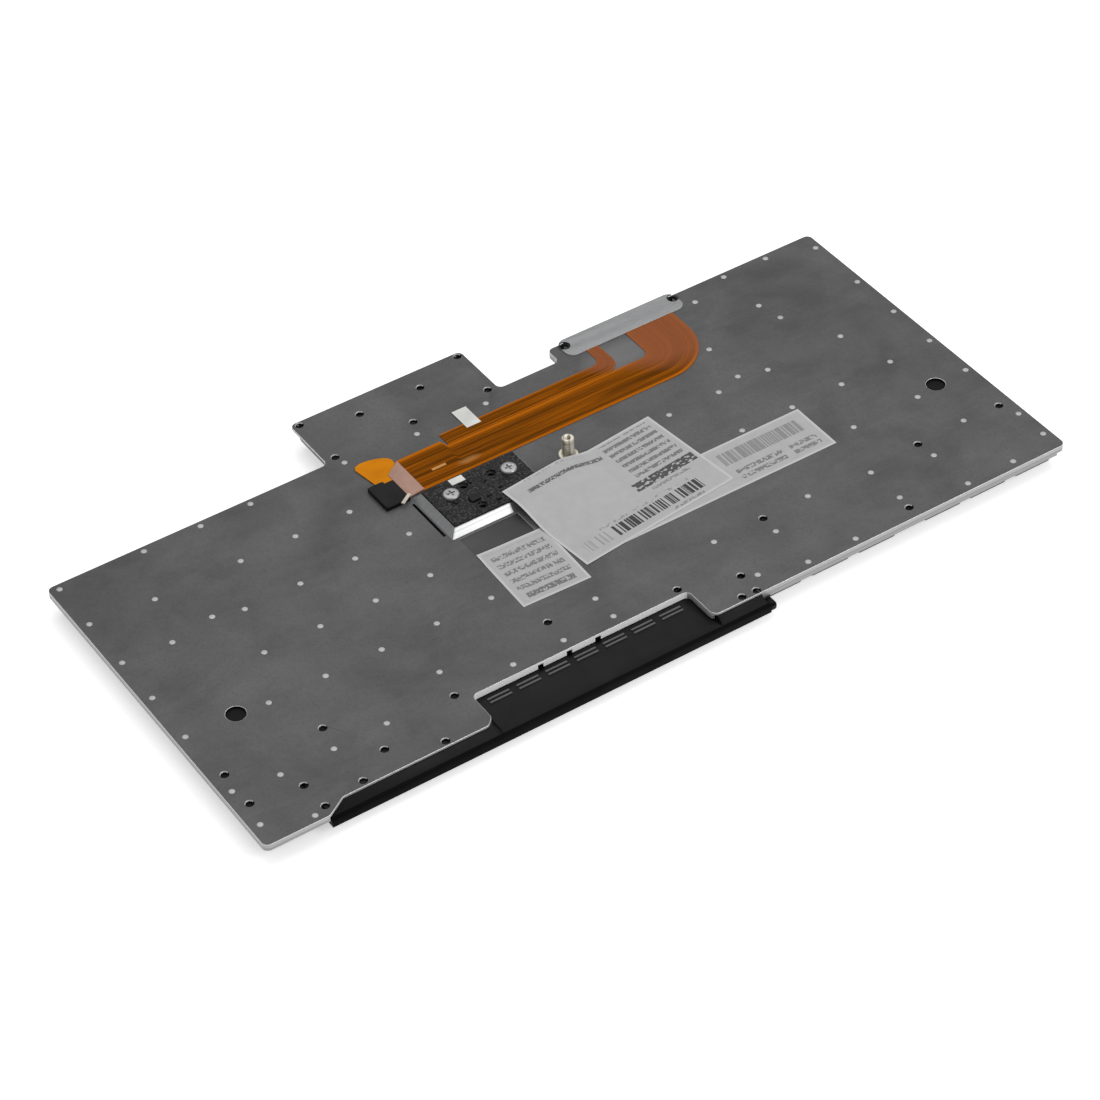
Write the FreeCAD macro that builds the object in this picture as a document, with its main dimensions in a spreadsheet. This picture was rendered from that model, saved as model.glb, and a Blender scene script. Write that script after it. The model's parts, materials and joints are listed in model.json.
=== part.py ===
import FreeCAD, Part
import math
import os
import re
import Sketcher

# Laptop replacement keyboard with a pointing stick, lying keys down on its key tops.
# X runs along the rows from the left edge, Y from the rear edge to the front edge,
# and Z from the key tops to the underside. The finished pieces are centred on X and Y.

SIZES = {
    # Stack from the key tops to the underside
    "cap_height": 4.5,
    "key_travel": 2.3,
    "press_clearance": 0.3,
    "membrane_thickness": 0.4,
    "plate_thickness": 0.8,
    "rim_height": 2.3,
    "rim_thickness": 0.8,
    # Outline of the base plate
    "plate_width": 286.6,
    "measured_pitch": 19.05,
    "field_units": 15.0,
    "field_margin": 0.425,
    "plate_corner": 2.0,
    "rear_corner_width": 20.8,
    "rear_step": 4.1,
    "rear_slope_end": 27.5,
    "notch_chamfer_start": 75.8,
    "notch_left": 78.3,
    "notch_right": 154.0,
    "notch_depth": 17.1,
    "notch_corner": 2.5,
    "notch_corner_right": 1.5,
    "front_edge": 128.3,
    "front_step": 135.2,
    "front_step_left": 183.0,
    "tab_left": 97.3,
    "tab_right": 160.3,
    "tab_front": 151.1,
    "bar_span_right": 171.5,
    "slot_width": 2.0,
    "slot_first": 101.0,
    "slot_pitch": 10.0,
    # Openings in the base plate
    "screw_hole_radius": 1.15,
    "screw_hole_sink": 0.25,
    "membrane_hole_radius": 1.7,
    "tab_hole_inset": 1.7,
    "tab_middle_inset": 8.0,
    "notch_hole_inset": 2.2,
    "notch_hole_near": 11.4,
    "notch_hole_far": 16.5,
    "drain_radius": 3.1,
    "stick_opening_radius": 5.0,
    "bracket_slot_left": 108.4,
    "bracket_slot_right": 109.3,
    "bracket_slot_rear": 79.1,
    "bracket_slot_front": 97.1,
    "ramp_left": 111.5,
    "ramp_right": 132.5,
    "ramp_rear": 61.0,
    "ramp_front": 75.6,
    "ramp_depth": 0.35,
    # Rivet heads on the underside
    "rivet_radius": 0.95,
    "rivet_height": 0.18,
    # Keys
    "key_pitch": 19.05,
    "key_gap": 1.0,
    "field_rear": 6.6,
    "small_row": 12.8,
    "group_gap": 7.6,
    "arrow_units": 0.9166667,
    "edge_key_inset": 1.2,
    "cap_wall": 1.0,
    "cap_roof": 1.2,
    "cap_side_inset": 1.6,
    "cap_rear_inset": 1.0,
    "cap_front_inset": 2.2,
    "stick_cut_radius": 5.0,
    # Levers and domes that carry the keys
    "lever_width": 8.0,
    "lever_length": 8.86,
    "lever_thickness": 1.0,
    "lever_angle": 35.0,
    "lever_sink": 0.3,
    "foot_size": 9.0,
    "foot_height": 0.5,
    "dome_base_radius": 3.2,
    "dome_top_radius": 1.6,
    "dome_gap": 0.3,
    # Button bar along the rear edge
    "bar_left": 21.4,
    "bar_right": 172.0,
    "bar_depth": 18.9,
    "bar_face": 3.0,
    "bar_back": 5.7,
    "bar_rear_shelf": 5.0,
    "bar_rear_lean": 0.3,
    "bar_shelf_start": 1.4,
    "bar_pad_start": 3.5,
    "bar_pad_end": 18.7,
    "left_pad_right": 76.9,
    "middle_pad_left": 78.8,
    "middle_pad_right": 153.5,
    "middle_pad_end": 16.6,
    "middle_pad_back": 6.2,
    "right_pad_left": 155.3,
    "right_pad_right": 171.1,
    "rib_place": 12.9,
    "rib_row_pitch": 1.5,
    "rib_width": 0.5,
    "rib_height": 0.4,
    "rib_length": 7.4,
    "rib_first": 82.0,
    "rib_pitch": 10.0,
    "button_row": 10.2,
    "button_top": 2.4,
    "button_thickness": 1.8,
    "button_travel": 0.5,
    "button_clearance": 0.3,
    "round_button_radius": 3.2,
    "volume_down_place": 31.0,
    "volume_up_place": 42.0,
    "mute_place": 53.0,
    "assist_place": 72.0,
    "assist_width": 20.0,
    "assist_depth": 6.4,
    "power_place": 97.0,
    "power_radius": 5.0,
    # Filler bars between the groups of function keys
    "strip_face": 3.4,
    "strip_margin": 0.8,
    # Pointing stick unit
    "stick_place": 129.0,
    "stick_row": 88.5,
    "bracket_left": 109.9,
    "bracket_right": 147.2,
    "bracket_rear": 76.3,
    "bracket_front": 99.5,
    "bracket_inset": 2.2,
    "bracket_height": 2.2,
    "bracket_wall": 0.8,
    "bracket_opening_radius": 4.0,
    "board_thickness": 0.8,
    "unit_screw_left": 118.7,
    "unit_screw_right": 139.5,
    "unit_screw_row": 90.8,
    "unit_screw_radius": 1.0,
    "unit_screw_head_radius": 2.6,
    "unit_screw_head_height": 1.0,
    "unit_screw_length": 2.3,
    "unit_screw_fit": 0.1,
    "recess_length": 2.6,
    "recess_width": 0.6,
    "recess_depth": 0.5,
    "board_hole_radius": 1.5,
    "board_hole_left": 124.2,
    "board_hole_right": 134.2,
    "board_hole_front": 92.6,
    "board_hole_rear": 81.8,
    "post_flange_radius": 3.2,
    "post_flange_height": 0.6,
    "post_width": 2.2,
    "post_end": 1.5,
    "post_fit": 0.05,
    "stick_cap_radius": 3.6,
    "stick_cap_face": 0.3,
    "stick_cap_height": 4.2,
    # Brass post on the underside
    "brass_place": 160.0,
    "brass_row": 88.9,
    "brass_flange_radius": 3.1,
    "brass_flange_height": 0.5,
    "brass_radius": 2.0,
    "brass_height": 6.8,
    "thread_radius": 0.85,
    "thread_depth": 5.0,
    # Clamp bar with two screw notches
    "clamp_left": 186.9,
    "clamp_right": 231.9,
    "clamp_rear": 127.6,
    "clamp_front": 136.4,
    "clamp_height": 1.2,
    "clamp_corner": 3.0,
    "clamp_hole_left": 188.5,
    "clamp_hole_spacing": 42.1,
    "clamp_hole_row": 133.4,
    "clamp_notch_radius": 1.9,
    # Ribbon cables and what lies on them
    "ribbon_thickness": 0.2,
    "ribbon_start": 109.5,
    "ribbon_rear": 100.5,
    "ribbon_front": 114.1,
    "ribbon_wide_front": 117.0,
    "ribbon_wide_start": 115.2,
    "ribbon_wide_end": 131.0,
    "ribbon_narrow_start": 132.0,
    "ribbon_corner_front": 113.5,
    "ribbon_turn_left": 208.0,
    "ribbon_turn_right": 226.3,
    "ribbon_outer_bend": 18.0,
    "ribbon_inner_bend": 3.0,
    "second_left": 132.5,
    "second_rear": 114.4,
    "second_front": 119.8,
    "second_turn_left": 193.0,
    "second_turn_right": 197.5,
    "second_outer_bend": 5.0,
    "second_inner_bend": 3.0,
    "stiffener_thickness": 0.4,
    "stiffener_right": 115.2,
    "stiffener_rear": 100.0,
    "stiffener_rear_right": 100.7,
    "stiffener_front": 112.5,
    "stiffener_front_right": 116.6,
    "connector_left": 100.5,
    "connector_right": 109.3,
    "connector_rear": 98.6,
    "connector_front": 111.6,
    "connector_height": 2.5,
    "pull_left": 101.3,
    "pull_right": 114.4,
    "pull_rear": 112.4,
    "pull_mid": 109.0,
    "pull_edge_front": 117.2,
    "pull_front": 122.3,
    "pull_corner": 4.2,
    "pull_small_corner": 1.5,
    "tape_thickness": 0.12,
    "tape_left": 141.5,
    "tape_width": 5.2,
    "tape_rear": 117.6,
    "tape_length": 9.0,
    "board_tape_left": 121.4,
    "board_tape_width": 4.8,
    "board_tape_rear": 94.4,
    "board_tape_length": 2.7,
    # Paper labels on the underside
    "label_thickness": 0.12,
    "strip_label_left": 146.0,
    "strip_label_rear": 45.3,
    "strip_label_width": 84.0,
    "strip_label_height": 19.9,
    "small_label_place": 123.0,
    "small_label_row": 52.4,
    "small_label_width": 23.5,
    "small_label_height": 27.0,
    "small_label_angle": -1.9,
    "large_label_place": 163.65,
    "large_label_row": 68.0,
    "large_label_width": 58.0,
    "large_label_height": 41.0,
    "large_label_angle": 7.4,
    "tent_rise": 3.2,
    "tent_flat_left": 148.5,
    "tent_foot_right": 160.0,
    "tent_flat_rear": 76.0,
    "tent_foot_rear": 60.0,
    "label_cutout_radius": 3.4,
    # Buttons of the pointing stick, under the front tab
    "button_frame_left": 98.0,
    "button_frame_right": 159.6,
    "button_frame_rear": 128.7,
    "button_frame_depth": 21.9,
    "button_frame_thickness": 0.5,
    "button_rib_height": 1.8,
    "button_rib_width": 0.4,
    "stick_button_rear": 129.6,
    "stick_button_depth": 20.2,
    "stick_button_left_start": 98.9,
    "stick_button_left_end": 119.4,
    "stick_button_right_start": 138.4,
    "stick_button_right_end": 158.9,
    "stick_button_gap": 1.0,
    "stick_button_face": 2.2,
    "stick_button_height": 3.6,
    "stick_button_inset": 0.8,
}

# Places along X, measured on a plate of standard key pitch, that keep in step with its width
FOLLOW_WIDTH = (
    "rear_corner_width rear_slope_end notch_chamfer_start notch_left notch_right "
    "front_step_left tab_left tab_right bar_span_right slot_first slot_pitch "
    "bracket_slot_left bracket_slot_right ramp_left ramp_right group_gap bar_left bar_right "
    "left_pad_right middle_pad_left middle_pad_right right_pad_left right_pad_right rib_first "
    "rib_pitch rib_length volume_down_place volume_up_place mute_place assist_place "
    "power_place stick_place bracket_left bracket_right unit_screw_left unit_screw_right "
    "board_hole_left board_hole_right brass_place clamp_left clamp_right clamp_hole_left "
    "clamp_hole_spacing ribbon_start ribbon_wide_start ribbon_wide_end ribbon_narrow_start "
    "ribbon_turn_left ribbon_turn_right second_left second_turn_left second_turn_right "
    "stiffener_right connector_left connector_right pull_left pull_right pull_mid tape_left "
    "board_tape_left strip_label_left strip_label_width small_label_place "
    "large_label_place tent_flat_left tent_foot_right button_frame_left button_frame_right "
    "stick_button_left_start stick_button_left_end stick_button_right_start "
    "stick_button_right_end"
).split()

# Sizes that follow from others
FOLLOWERS = {
    "key_span": "(plate_width - 2 * field_margin)",
    "width_scale": "key_span / (field_units * measured_pitch)",
    "column_pitch": "key_span / field_units",
}

# Levels that follow from the stack
MEMBRANE = "(cap_height + key_travel + press_clearance)"
PLATE_INNER = f"({MEMBRANE} + membrane_thickness)"
UNDERSIDE = f"({PLATE_INNER} + plate_thickness)"
RIM_EDGE = f"({UNDERSIDE} - rim_height)"
BRACKET_TOP = f"({UNDERSIDE} + bracket_height)"
BOARD_TOP = f"({BRACKET_TOP} + board_thickness)"
RIBBON_TOP = f"({UNDERSIDE} + ribbon_thickness)"
FUNCTION_PITCH = "((key_span - 3 * group_gap) / field_units)"
BUTTON_FRAME_FRONT = "(button_frame_rear + button_frame_depth)"
STICK_BUTTON_FRONT = "(stick_button_rear + stick_button_depth)"
CLAMP_HOLE_RIGHT = "(clamp_hole_left + clamp_hole_spacing)"
BOARD_HOLES = [
    ("board_hole_left", "board_hole_front"), ("board_hole_right", "board_hole_front"),
    ("board_hole_left", "board_hole_rear"),
]
CLAMP_HOLES = [("clamp_hole_left", "clamp_hole_row"), (CLAMP_HOLE_RIGHT, "clamp_hole_row")]

# Screw holes of the base plate, along X and Y, apart from those at the tab, notch and clamp
SCREW_HOLES = [
    (4.8, 30.7), (4.9, 16.9), (20.8, 14.2), (21.6, 4.0), (35.3, 6.2), (36.8, 30.6),
    (46.6, 13.2), (62.4, 6.0), (74.3, 20.0), (113.0, 30.0), (191.0, 30.3), (229.5, 8.7),
    (249.8, 30.3), (281.6, 30.3), (101.0, 129.8), (129.6, 130.1), (157.0, 129.8),
]
TAB_HOLES = [
    (99.9, "tab_front - tab_hole_inset"), (158.2, "tab_front - tab_hole_inset"),
    (118.0, "tab_front - tab_middle_inset"), (140.3, "tab_front - tab_middle_inset"),
]
NOTCH_HOLES = [
    ("notch_right - notch_hole_inset", 19.5), ("notch_right + notch_hole_near", 5.9),
    ("notch_right + notch_hole_far", 13.5), ("notch_right + notch_hole_far", 5.7),
]
DRAIN_HOLES = [(19.6, 49.9), (272.2, 49.8)]

# Rivet heads: first X, Y, count, and the spacing where a run repeats
RIVET_RUNS = [
    (3.2, 125.9, 1, 0), (31.8, 126.1, 2, 19.5), (68.7, 126.1, 1, 0), (235.5, 127.8, 1, 0),
    (250.7, 133.1, 2, 16.8), (284.2, 128.1, 1, 0), (102.0, 125.9, 1, 0), (127.4, 124.4, 2, 25.4),
    (3.2, 107.3, 1, 0), (24.2, 105.6, 1, 0), (53.3, 105.4, 3, 19.0), (225.0, 105.4, 1, 0),
    (253.0, 105.3, 1, 0), (284.2, 105.7, 1, 0), (251.0, 114.3, 1, 0),
    (3.2, 87.3, 1, 0), (19.3, 86.4, 1, 0), (43.7, 86.4, 4, 19.0), (34.2, 89.1, 1, 0),
    (196.0, 86.3, 3, 19.0), (262.7, 86.4, 1, 0), (284.2, 86.6, 1, 0), (224.4, 89.1, 1, 0),
    (3.2, 69.4, 1, 0), (39.0, 67.1, 4, 19.0), (210.0, 67.0, 4, 19.2), (284.2, 68.1, 1, 0),
    (3.2, 50.1, 1, 0), (29.5, 48.3, 5, 18.95), (238.8, 48.2, 2, 25.0), (284.2, 49.9, 1, 0),
    (76.0, 30.6, 1, 0), (130.0, 30.2, 1, 0), (172.8, 30.2, 1, 0), (207.9, 30.5, 1, 0),
    (230.0, 28.1, 1, 0), (268.2, 30.9, 1, 0), (3.2, 23.8, 1, 0), (17.6, 21.6, 3, 17.5),
    (95.0, 20.9, 3, 17.5), (190.6, 23.3, 1, 0), (250.5, 23.3, 1, 0), (284.0, 23.6, 1, 0),
    (174.8, 10.9, 1, 0), (230.0, 13.9, 1, 0), (284.0, 11.8, 1, 0), (3.2, 8.2, 1, 0),
    (17.4, 2.4, 1, 0), (190.3, 6.8, 2, 17.6), (250.7, 7.0, 2, 17.6),
]

# Key rows from the rear: what stands in each, with its width in key units.
# Names beginning with a plus sign are keys that have a piece of their own.
KEY_ROWS = [
    [("grave", 1)] + [(f"digit_{n}", 1) for n in range(1, 13)] + [("+backspace", 2)],
    [("+tab", 1.5)] + [(f"upper_{n}", 1) for n in range(12)] + [("+backslash", 1.5)],
    [("+caps", 1.75), ("home_0", 1), ("home_1", 1), ("home_2", 1), ("+index_left", 1),
     ("home_4", 1), ("home_5", 1), ("+index_right", 1), ("home_7", 1), ("home_8", 1),
     ("home_9", 1), ("home_10", 1), ("+enter", 2.25)],
    [("+left_shift", 2.25)] + [(f"lower_{n}", 1) for n in range(10)] + [("+right_shift", 2.75)],
    [("+function", 1), ("+left_control", 1.25), ("+system", 1), ("+left_alt", 1),
     ("+space", 5), ("+right_alt", 1), ("+menu", 1), ("+right_control", 1)],
]
ARROW_ROWS = [["page_back", "arrow_up", "page_forward"], ["arrow_left", "arrow_down", "arrow_right"]]
ARROW_START = 12.25

doc = FreeCAD.newDocument("LaptopKeyboard")
sheet = doc.addObject("Spreadsheet::Sheet", "Sizes")
followers = {alias: f"={formula}" for alias, formula in FOLLOWERS.items()}
kept = {alias: str(value) for alias, value in SIZES.items() if alias not in FOLLOW_WIDTH}
scaled = {alias: f"={SIZES[alias]} * width_scale" for alias in FOLLOW_WIDTH}
for row, (alias, content) in enumerate({**kept, **followers, **scaled}.items(), start=1):
    sheet.set(f"A{row}", alias)
    sheet.set(f"B{row}", content)
    sheet.setAlias(f"B{row}", alias)
doc.recompute()

pieces = []


def named(formula):
    """Point every name of a size in a formula at the sheet."""
    return re.sub(r"[a-z]+(?:_[a-z]+)+", lambda word: f"Sizes.{word.group(0)}", str(formula))


def tie(item, field, formula):
    """Bind one property of an object to a formula of sizes."""
    item.setExpression(field, named(formula))


def across(places):
    """Let measured places along X keep in step with the plate's width."""
    return [(f"({x} * width_scale)", y) for x, y in places]


def place(item, x, y, z):
    """Bind where an object stands."""
    for axis, formula in zip("xyz", (x, y, z)):
        tie(item, f"Placement.Base.{axis}", formula)


def piece(item, label):
    """Name a finished sub-part and centre it on X and Y."""
    item.Label = label
    place(item, "-plate_width / 2", "-tab_front / 2", "0")
    pieces.append(item)


# Sketches and bodies

def origin_plane(body, role):
    """Find one of a body's own origin planes."""
    return next(f for f in body.Origin.OriginFeatures if f.Role == role)


def pin(fixings, item, point, spot, target):
    """Tie a point of a sketch to a place, given as two formulas or zeros."""
    for kind, start, formula, axis in (
        ("DistanceX", spot.x, target[0], -2), ("DistanceY", spot.y, target[1], -1)
    ):
        if formula == 0:
            fixings.append((Sketcher.Constraint("PointOnObject", item, point, axis), None))
        else:
            fixings.append((Sketcher.Constraint(kind, -1, 1, item, point, start), formula))


def apply_fixings(drawing, fixings):
    """Add the constraints of a sketch together and bind those that have a formula."""
    first = drawing.ConstraintCount
    drawing.addConstraint([fixing for fixing, _ in fixings])
    for index, (_, formula) in enumerate(fixings, start=first):
        if formula is not None:
            tie(drawing, f"Constraints[{index}]", formula)


def temporary_spots(count):
    """Spread the points of a sketch round a circle until their constraints place them."""
    middle = sheet.get("plate_width")
    radius = middle / 3
    angles = [2 * math.pi * i / count for i in range(count)]
    return [FreeCAD.Vector(middle + radius * math.cos(a), middle + radius * math.sin(a), 0)
            for a in angles]


def outline(drawing, corners):
    """Draw a closed outline with straight sides."""
    count = len(corners)
    first = drawing.GeometryCount
    spots = temporary_spots(count)
    sides = [Part.LineSegment(spots[i], spots[(i + 1) % count]) for i in range(count)]
    drawing.addGeometry(sides, False)
    fixings = []
    for i, corner in enumerate(corners):
        after = first + (i + 1) % count
        fixings.append((Sketcher.Constraint("Coincident", first + i, 2, after, 1), None))
        pin(fixings, first + i, 1, spots[i], corner)
    apply_fixings(drawing, fixings)


def circles(drawing, centres, radius):
    """Draw circles of one radius."""
    first = drawing.GeometryCount
    spots = temporary_spots(len(centres))
    normal = FreeCAD.Vector(0, 0, 1)
    drawing.addGeometry([Part.Circle(spot, normal, 1.0) for spot in spots], False)
    fixings = [(Sketcher.Constraint("Radius", first, 1.0), radius)]
    for i, centre in enumerate(centres):
        if i:
            fixings.append((Sketcher.Constraint("Equal", first, first + i), None))
        pin(fixings, first + i, 3, spots[i], centre)
    apply_fixings(drawing, fixings)


def rectangle(left, right, rear, front):
    """Give the corners of a rectangle."""
    return [(left, rear), (right, rear), (right, front), (left, front)]


def sketch(body, name, level, plane="XY_Plane"):
    """Start a sketch on an origin plane, raised to a level."""
    drawing = body.newObject("Sketcher::SketchObject", name)
    drawing.AttachmentSupport = (origin_plane(body, plane), [""])
    drawing.MapMode = "FlatFace"
    tie(drawing, "AttachmentOffset.Base.z", level)
    return drawing


def pad(body, drawing, length):
    """Raise a sketch along its own normal."""
    feature = body.newObject("PartDesign::Pad", f"{drawing.Name}_pad")
    feature.Profile = drawing
    tie(feature, "Length", length)
    drawing.Visibility = False
    return feature


def pocket(body, drawing, depth, upward):
    """Sink a sketch into the body and make sure that it took material away."""
    doc.recompute()
    before = body.Shape.Volume
    feature = body.newObject("PartDesign::Pocket", f"{drawing.Name}_pocket")
    feature.Profile = drawing
    feature.Reversed = upward
    tie(feature, "Length", depth)
    doc.recompute()
    if not body.Shape.Volume < before:
        raise RuntimeError(f"{feature.Name} cuts nothing")
    return feature


def round_edges(body, feature, radius, wanted):
    """Round the edges of a feature that a test picks."""
    doc.recompute()
    names = [f"Edge{i}" for i, edge in enumerate(feature.Shape.Edges, start=1) if wanted(edge)]
    fillet = body.newObject("PartDesign::Fillet", f"{feature.Name}_fillet")
    fillet.Base = (feature, names)
    tie(fillet, "Radius", radius)
    doc.recompute()
    return fillet


def upright(edge):
    """Tell whether an edge is straight and stands along Z."""
    ends = [vertex.Point for vertex in edge.Vertexes]
    return len(ends) == 2 and (ends[0] - ends[1]).cross(FreeCAD.Vector(0, 0, 1)).Length < 1e-6


def upright_at(x, y):
    """Make a test for the upright edge at one corner, named by two sizes."""
    corner = FreeCAD.Vector(sheet.get(x), sheet.get(y), 0)

    def found(edge):
        foot = edge.Vertexes[0].Point
        return upright(edge) and (FreeCAD.Vector(foot.x, foot.y, 0) - corner).Length < 1e-3

    return found


def new_body(name):
    """Start a body."""
    return doc.addObject("PartDesign::Body", name)


def slab(name, level, height, corners):
    """Make a body that is one outline raised to a height."""
    body = new_body(name)
    drawing = sketch(body, f"{name}_outline", level)
    outline(drawing, corners)
    return body, pad(body, drawing, height)


# Part primitives

def box(name, x, y, z, width, depth, height):
    """Make a box with its low corner at a place."""
    item = doc.addObject("Part::Box", name)
    place(item, x, y, z)
    for field, formula in (("Length", width), ("Width", depth), ("Height", height)):
        tie(item, field, formula)
    return item


def cylinder(name, x, y, z, radius, height):
    """Make an upright cylinder with its foot at a place."""
    item = doc.addObject("Part::Cylinder", name)
    place(item, x, y, z)
    tie(item, "Radius", radius)
    tie(item, "Height", height)
    return item


def frustum(name, corner, size, low_insets, high_insets):
    """Make a block with sloping sides. Insets are given as left, right, rear, front."""
    item = doc.addObject("Part::Wedge", name)
    item.Placement.Rotation = FreeCAD.Rotation(FreeCAD.Vector(1, 0, 0), 90)
    width, depth, height = size
    place(item, corner[0], f"{corner[1]} + {depth}", corner[2])
    tie(item, "Ymin", "0")
    tie(item, "Ymax", height)
    fields = (("Xmin", "Xmax", "Zmin", "Zmax"), ("X2min", "X2max", "Z2min", "Z2max"))
    for (left, right, front, rear), insets in zip(fields, (low_insets, high_insets)):
        tie(item, left, insets[0])
        tie(item, right, f"{width} - {insets[1]}")
        tie(item, front, insets[3])
        tie(item, rear, f"{depth} - {insets[2]}")
    return item


def group(name, items):
    """Keep separate solids together as one object."""
    item = doc.addObject("Part::Compound", name)
    item.Links = items
    return item


def fuse(name, items):
    """Join several objects."""
    item = doc.addObject("Part::MultiFuse", name)
    item.Shapes = items
    return item


def cut(name, base, tool):
    """Take one object out of another."""
    item = doc.addObject("Part::Cut", name)
    item.Base = base
    item.Tool = tool
    return item


# Base plate and membrane

def make_base_plate():
    """Folded steel plate with a rim, the notch for the button bar and the front tab."""
    notch_start = "notch_depth"
    corners = [
        (0, 0), ("rear_corner_width", 0), ("rear_slope_end", "rear_step"),
        ("notch_chamfer_start", "rear_step"), ("notch_left", "rear_step + notch_corner"),
        ("notch_left", notch_start), ("notch_right", notch_start),
        ("notch_right", "rear_step + notch_corner_right"),
        ("notch_right + notch_corner_right", "rear_step"), ("plate_width", "rear_step"),
        ("plate_width", "front_step"), ("front_step_left", "front_step"),
        ("front_step_left", "front_edge"), ("tab_right", "front_edge"),
        ("tab_right", "tab_front"), ("tab_left", "tab_front"), ("tab_left", "front_edge"),
        (0, "front_edge"),
    ]
    body, plate = slab("Plate", RIM_EDGE, "rim_height", corners)
    round_edges(body, plate, "plate_corner", upright)

    inside = sketch(body, "Plate_inside", RIM_EDGE)
    rim = "rim_thickness"
    outline(inside, [
        (rim, rim), ("rear_corner_width", rim), ("rear_corner_width", 0),
        (f"notch_left - {rim}", 0), (f"notch_left - {rim}", f"notch_depth + {rim}"),
        (f"notch_right + {rim}", f"notch_depth + {rim}"), (f"notch_right + {rim}", 0),
        ("bar_span_right", 0), ("bar_span_right", f"rear_step + {rim}"),
        (f"plate_width - {rim}", f"rear_step + {rim}"),
        (f"plate_width - {rim}", f"front_step - {rim}"),
        (f"front_step_left + {rim}", f"front_step - {rim}"),
        (f"front_step_left + {rim}", f"front_edge - {rim}"),
        (f"tab_right + {rim}", f"front_edge - {rim}"), (f"tab_right + {rim}", "tab_front + 1"),
        (f"tab_left - {rim}", "tab_front + 1"), (f"tab_left - {rim}", f"front_edge - {rim}"),
        (rim, f"front_edge - {rim}"),
    ])
    pocket(body, inside, "rim_height - plate_thickness", True)

    slots = sketch(body, "Flange_slots", RIM_EDGE)
    for count in range(3):
        start = f"slot_first + {count} * slot_pitch"
        flange = (f"notch_depth - {rim}", f"notch_depth + 2 * {rim}")
        outline(slots, rectangle(start, f"{start} + slot_width", *flange))
    pocket(body, slots, "rim_height - plate_thickness", True)

    ramp = sketch(body, "Bracket_ramp", UNDERSIDE)
    outline(ramp, rectangle("ramp_left", "ramp_right", "ramp_rear", "ramp_front"))
    pocket(body, ramp, "ramp_depth", False)

    opening = sketch(body, "Stick_opening", UNDERSIDE)
    circles(opening, [("stick_place", "stick_row")], "stick_opening_radius")
    outline(opening, rectangle("bracket_slot_left", "bracket_slot_right",
                               "bracket_slot_rear", "bracket_slot_front"))
    pocket(body, opening, "rim_height", False)

    drains = sketch(body, "Drain_holes", UNDERSIDE)
    circles(drains, across(DRAIN_HOLES), "drain_radius")
    pocket(body, drains, "rim_height", False)

    holes = sketch(body, "Screw_holes", UNDERSIDE)
    centres = across(SCREW_HOLES + TAB_HOLES) + NOTCH_HOLES + CLAMP_HOLES
    circles(holes, centres, "screw_hole_radius")
    bored = pocket(body, holes, "rim_height", False)
    sink_edges(body, bored)
    piece(body, "base_plate")


def sink_edges(body, bored):
    """Break the underside edge of every screw hole."""
    radius = sheet.get("screw_hole_radius")
    top = bored.Shape.BoundBox.ZMax

    def is_mouth(edge):
        round_edge = isinstance(edge.Curve, Part.Circle)
        return (round_edge and abs(edge.Curve.Radius - radius) < 1e-6
                and abs(edge.BoundBox.ZMin - top) < 1e-6)

    mouths = [f"Edge{i}" for i, edge in enumerate(bored.Shape.Edges, start=1) if is_mouth(edge)]
    chamfer = body.newObject("PartDesign::Chamfer", "Screw_hole_sinks")
    chamfer.Base = (bored, mouths)
    tie(chamfer, "Size", "screw_hole_sink")
    doc.recompute()


def make_plate_rivets():
    """Flat rivet heads that show on the underside."""
    heads = []
    for first_x, y, count, spacing in RIVET_RUNS:
        run = [(first_x + step * spacing, y) for step in range(int(count))]
        for x, row in across(run):
            name = f"Rivet_{len(heads)}"
            heads.append(cylinder(name, x, row, UNDERSIDE, "rivet_radius", "rivet_height"))
    piece(group("Rivets", heads), "plate_rivets")


def make_membrane():
    """Switch membrane inside the rim, cut round the button bar and the stick."""
    play = "(rim_thickness + 0.2)"
    bar_play = "bar_depth + 0.7"
    body, _ = slab("Membrane", MEMBRANE, "membrane_thickness", [
        (play, play), ("rear_corner_width - 0.2", play), ("rear_corner_width - 0.2", bar_play),
        ("bar_right + 0.6", bar_play), ("bar_right + 0.6", f"rear_step + {play}"),
        (f"plate_width - {play}", f"rear_step + {play}"),
        (f"plate_width - {play}", f"front_step - {play}"),
        (f"front_step_left + {play}", f"front_step - {play}"),
        (f"front_step_left + {play}", f"front_edge - {play}"),
        (play, f"front_edge - {play}"),
    ])
    opening = sketch(body, "Membrane_opening", PLATE_INNER)
    circles(opening, [("stick_place", "stick_row")], "stick_opening_radius")
    circles(opening, CLAMP_HOLES, "membrane_hole_radius")
    pocket(body, opening, "membrane_thickness", False)
    piece(body, "membrane_sheet")


# Keys

def cap_pair(name, x, y, width, depth):
    """Make the outer and the inner block of one hollow key cap."""
    insets = ("cap_side_inset", "cap_side_inset", "cap_rear_inset", "cap_front_inset")
    none = ("0", "0", "0", "0")
    outer = frustum(f"{name}_outer", (x, y, "0"), (width, depth, "cap_height"), insets, none)
    corner = (f"{x} + cap_wall", f"{y} + cap_wall", "cap_roof")
    size = (f"({width} - 2 * cap_wall)", f"({depth} - 2 * cap_wall)", "cap_height - cap_roof")
    inner = frustum(f"{name}_inner", corner, size, insets, none)
    return outer, inner


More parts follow.
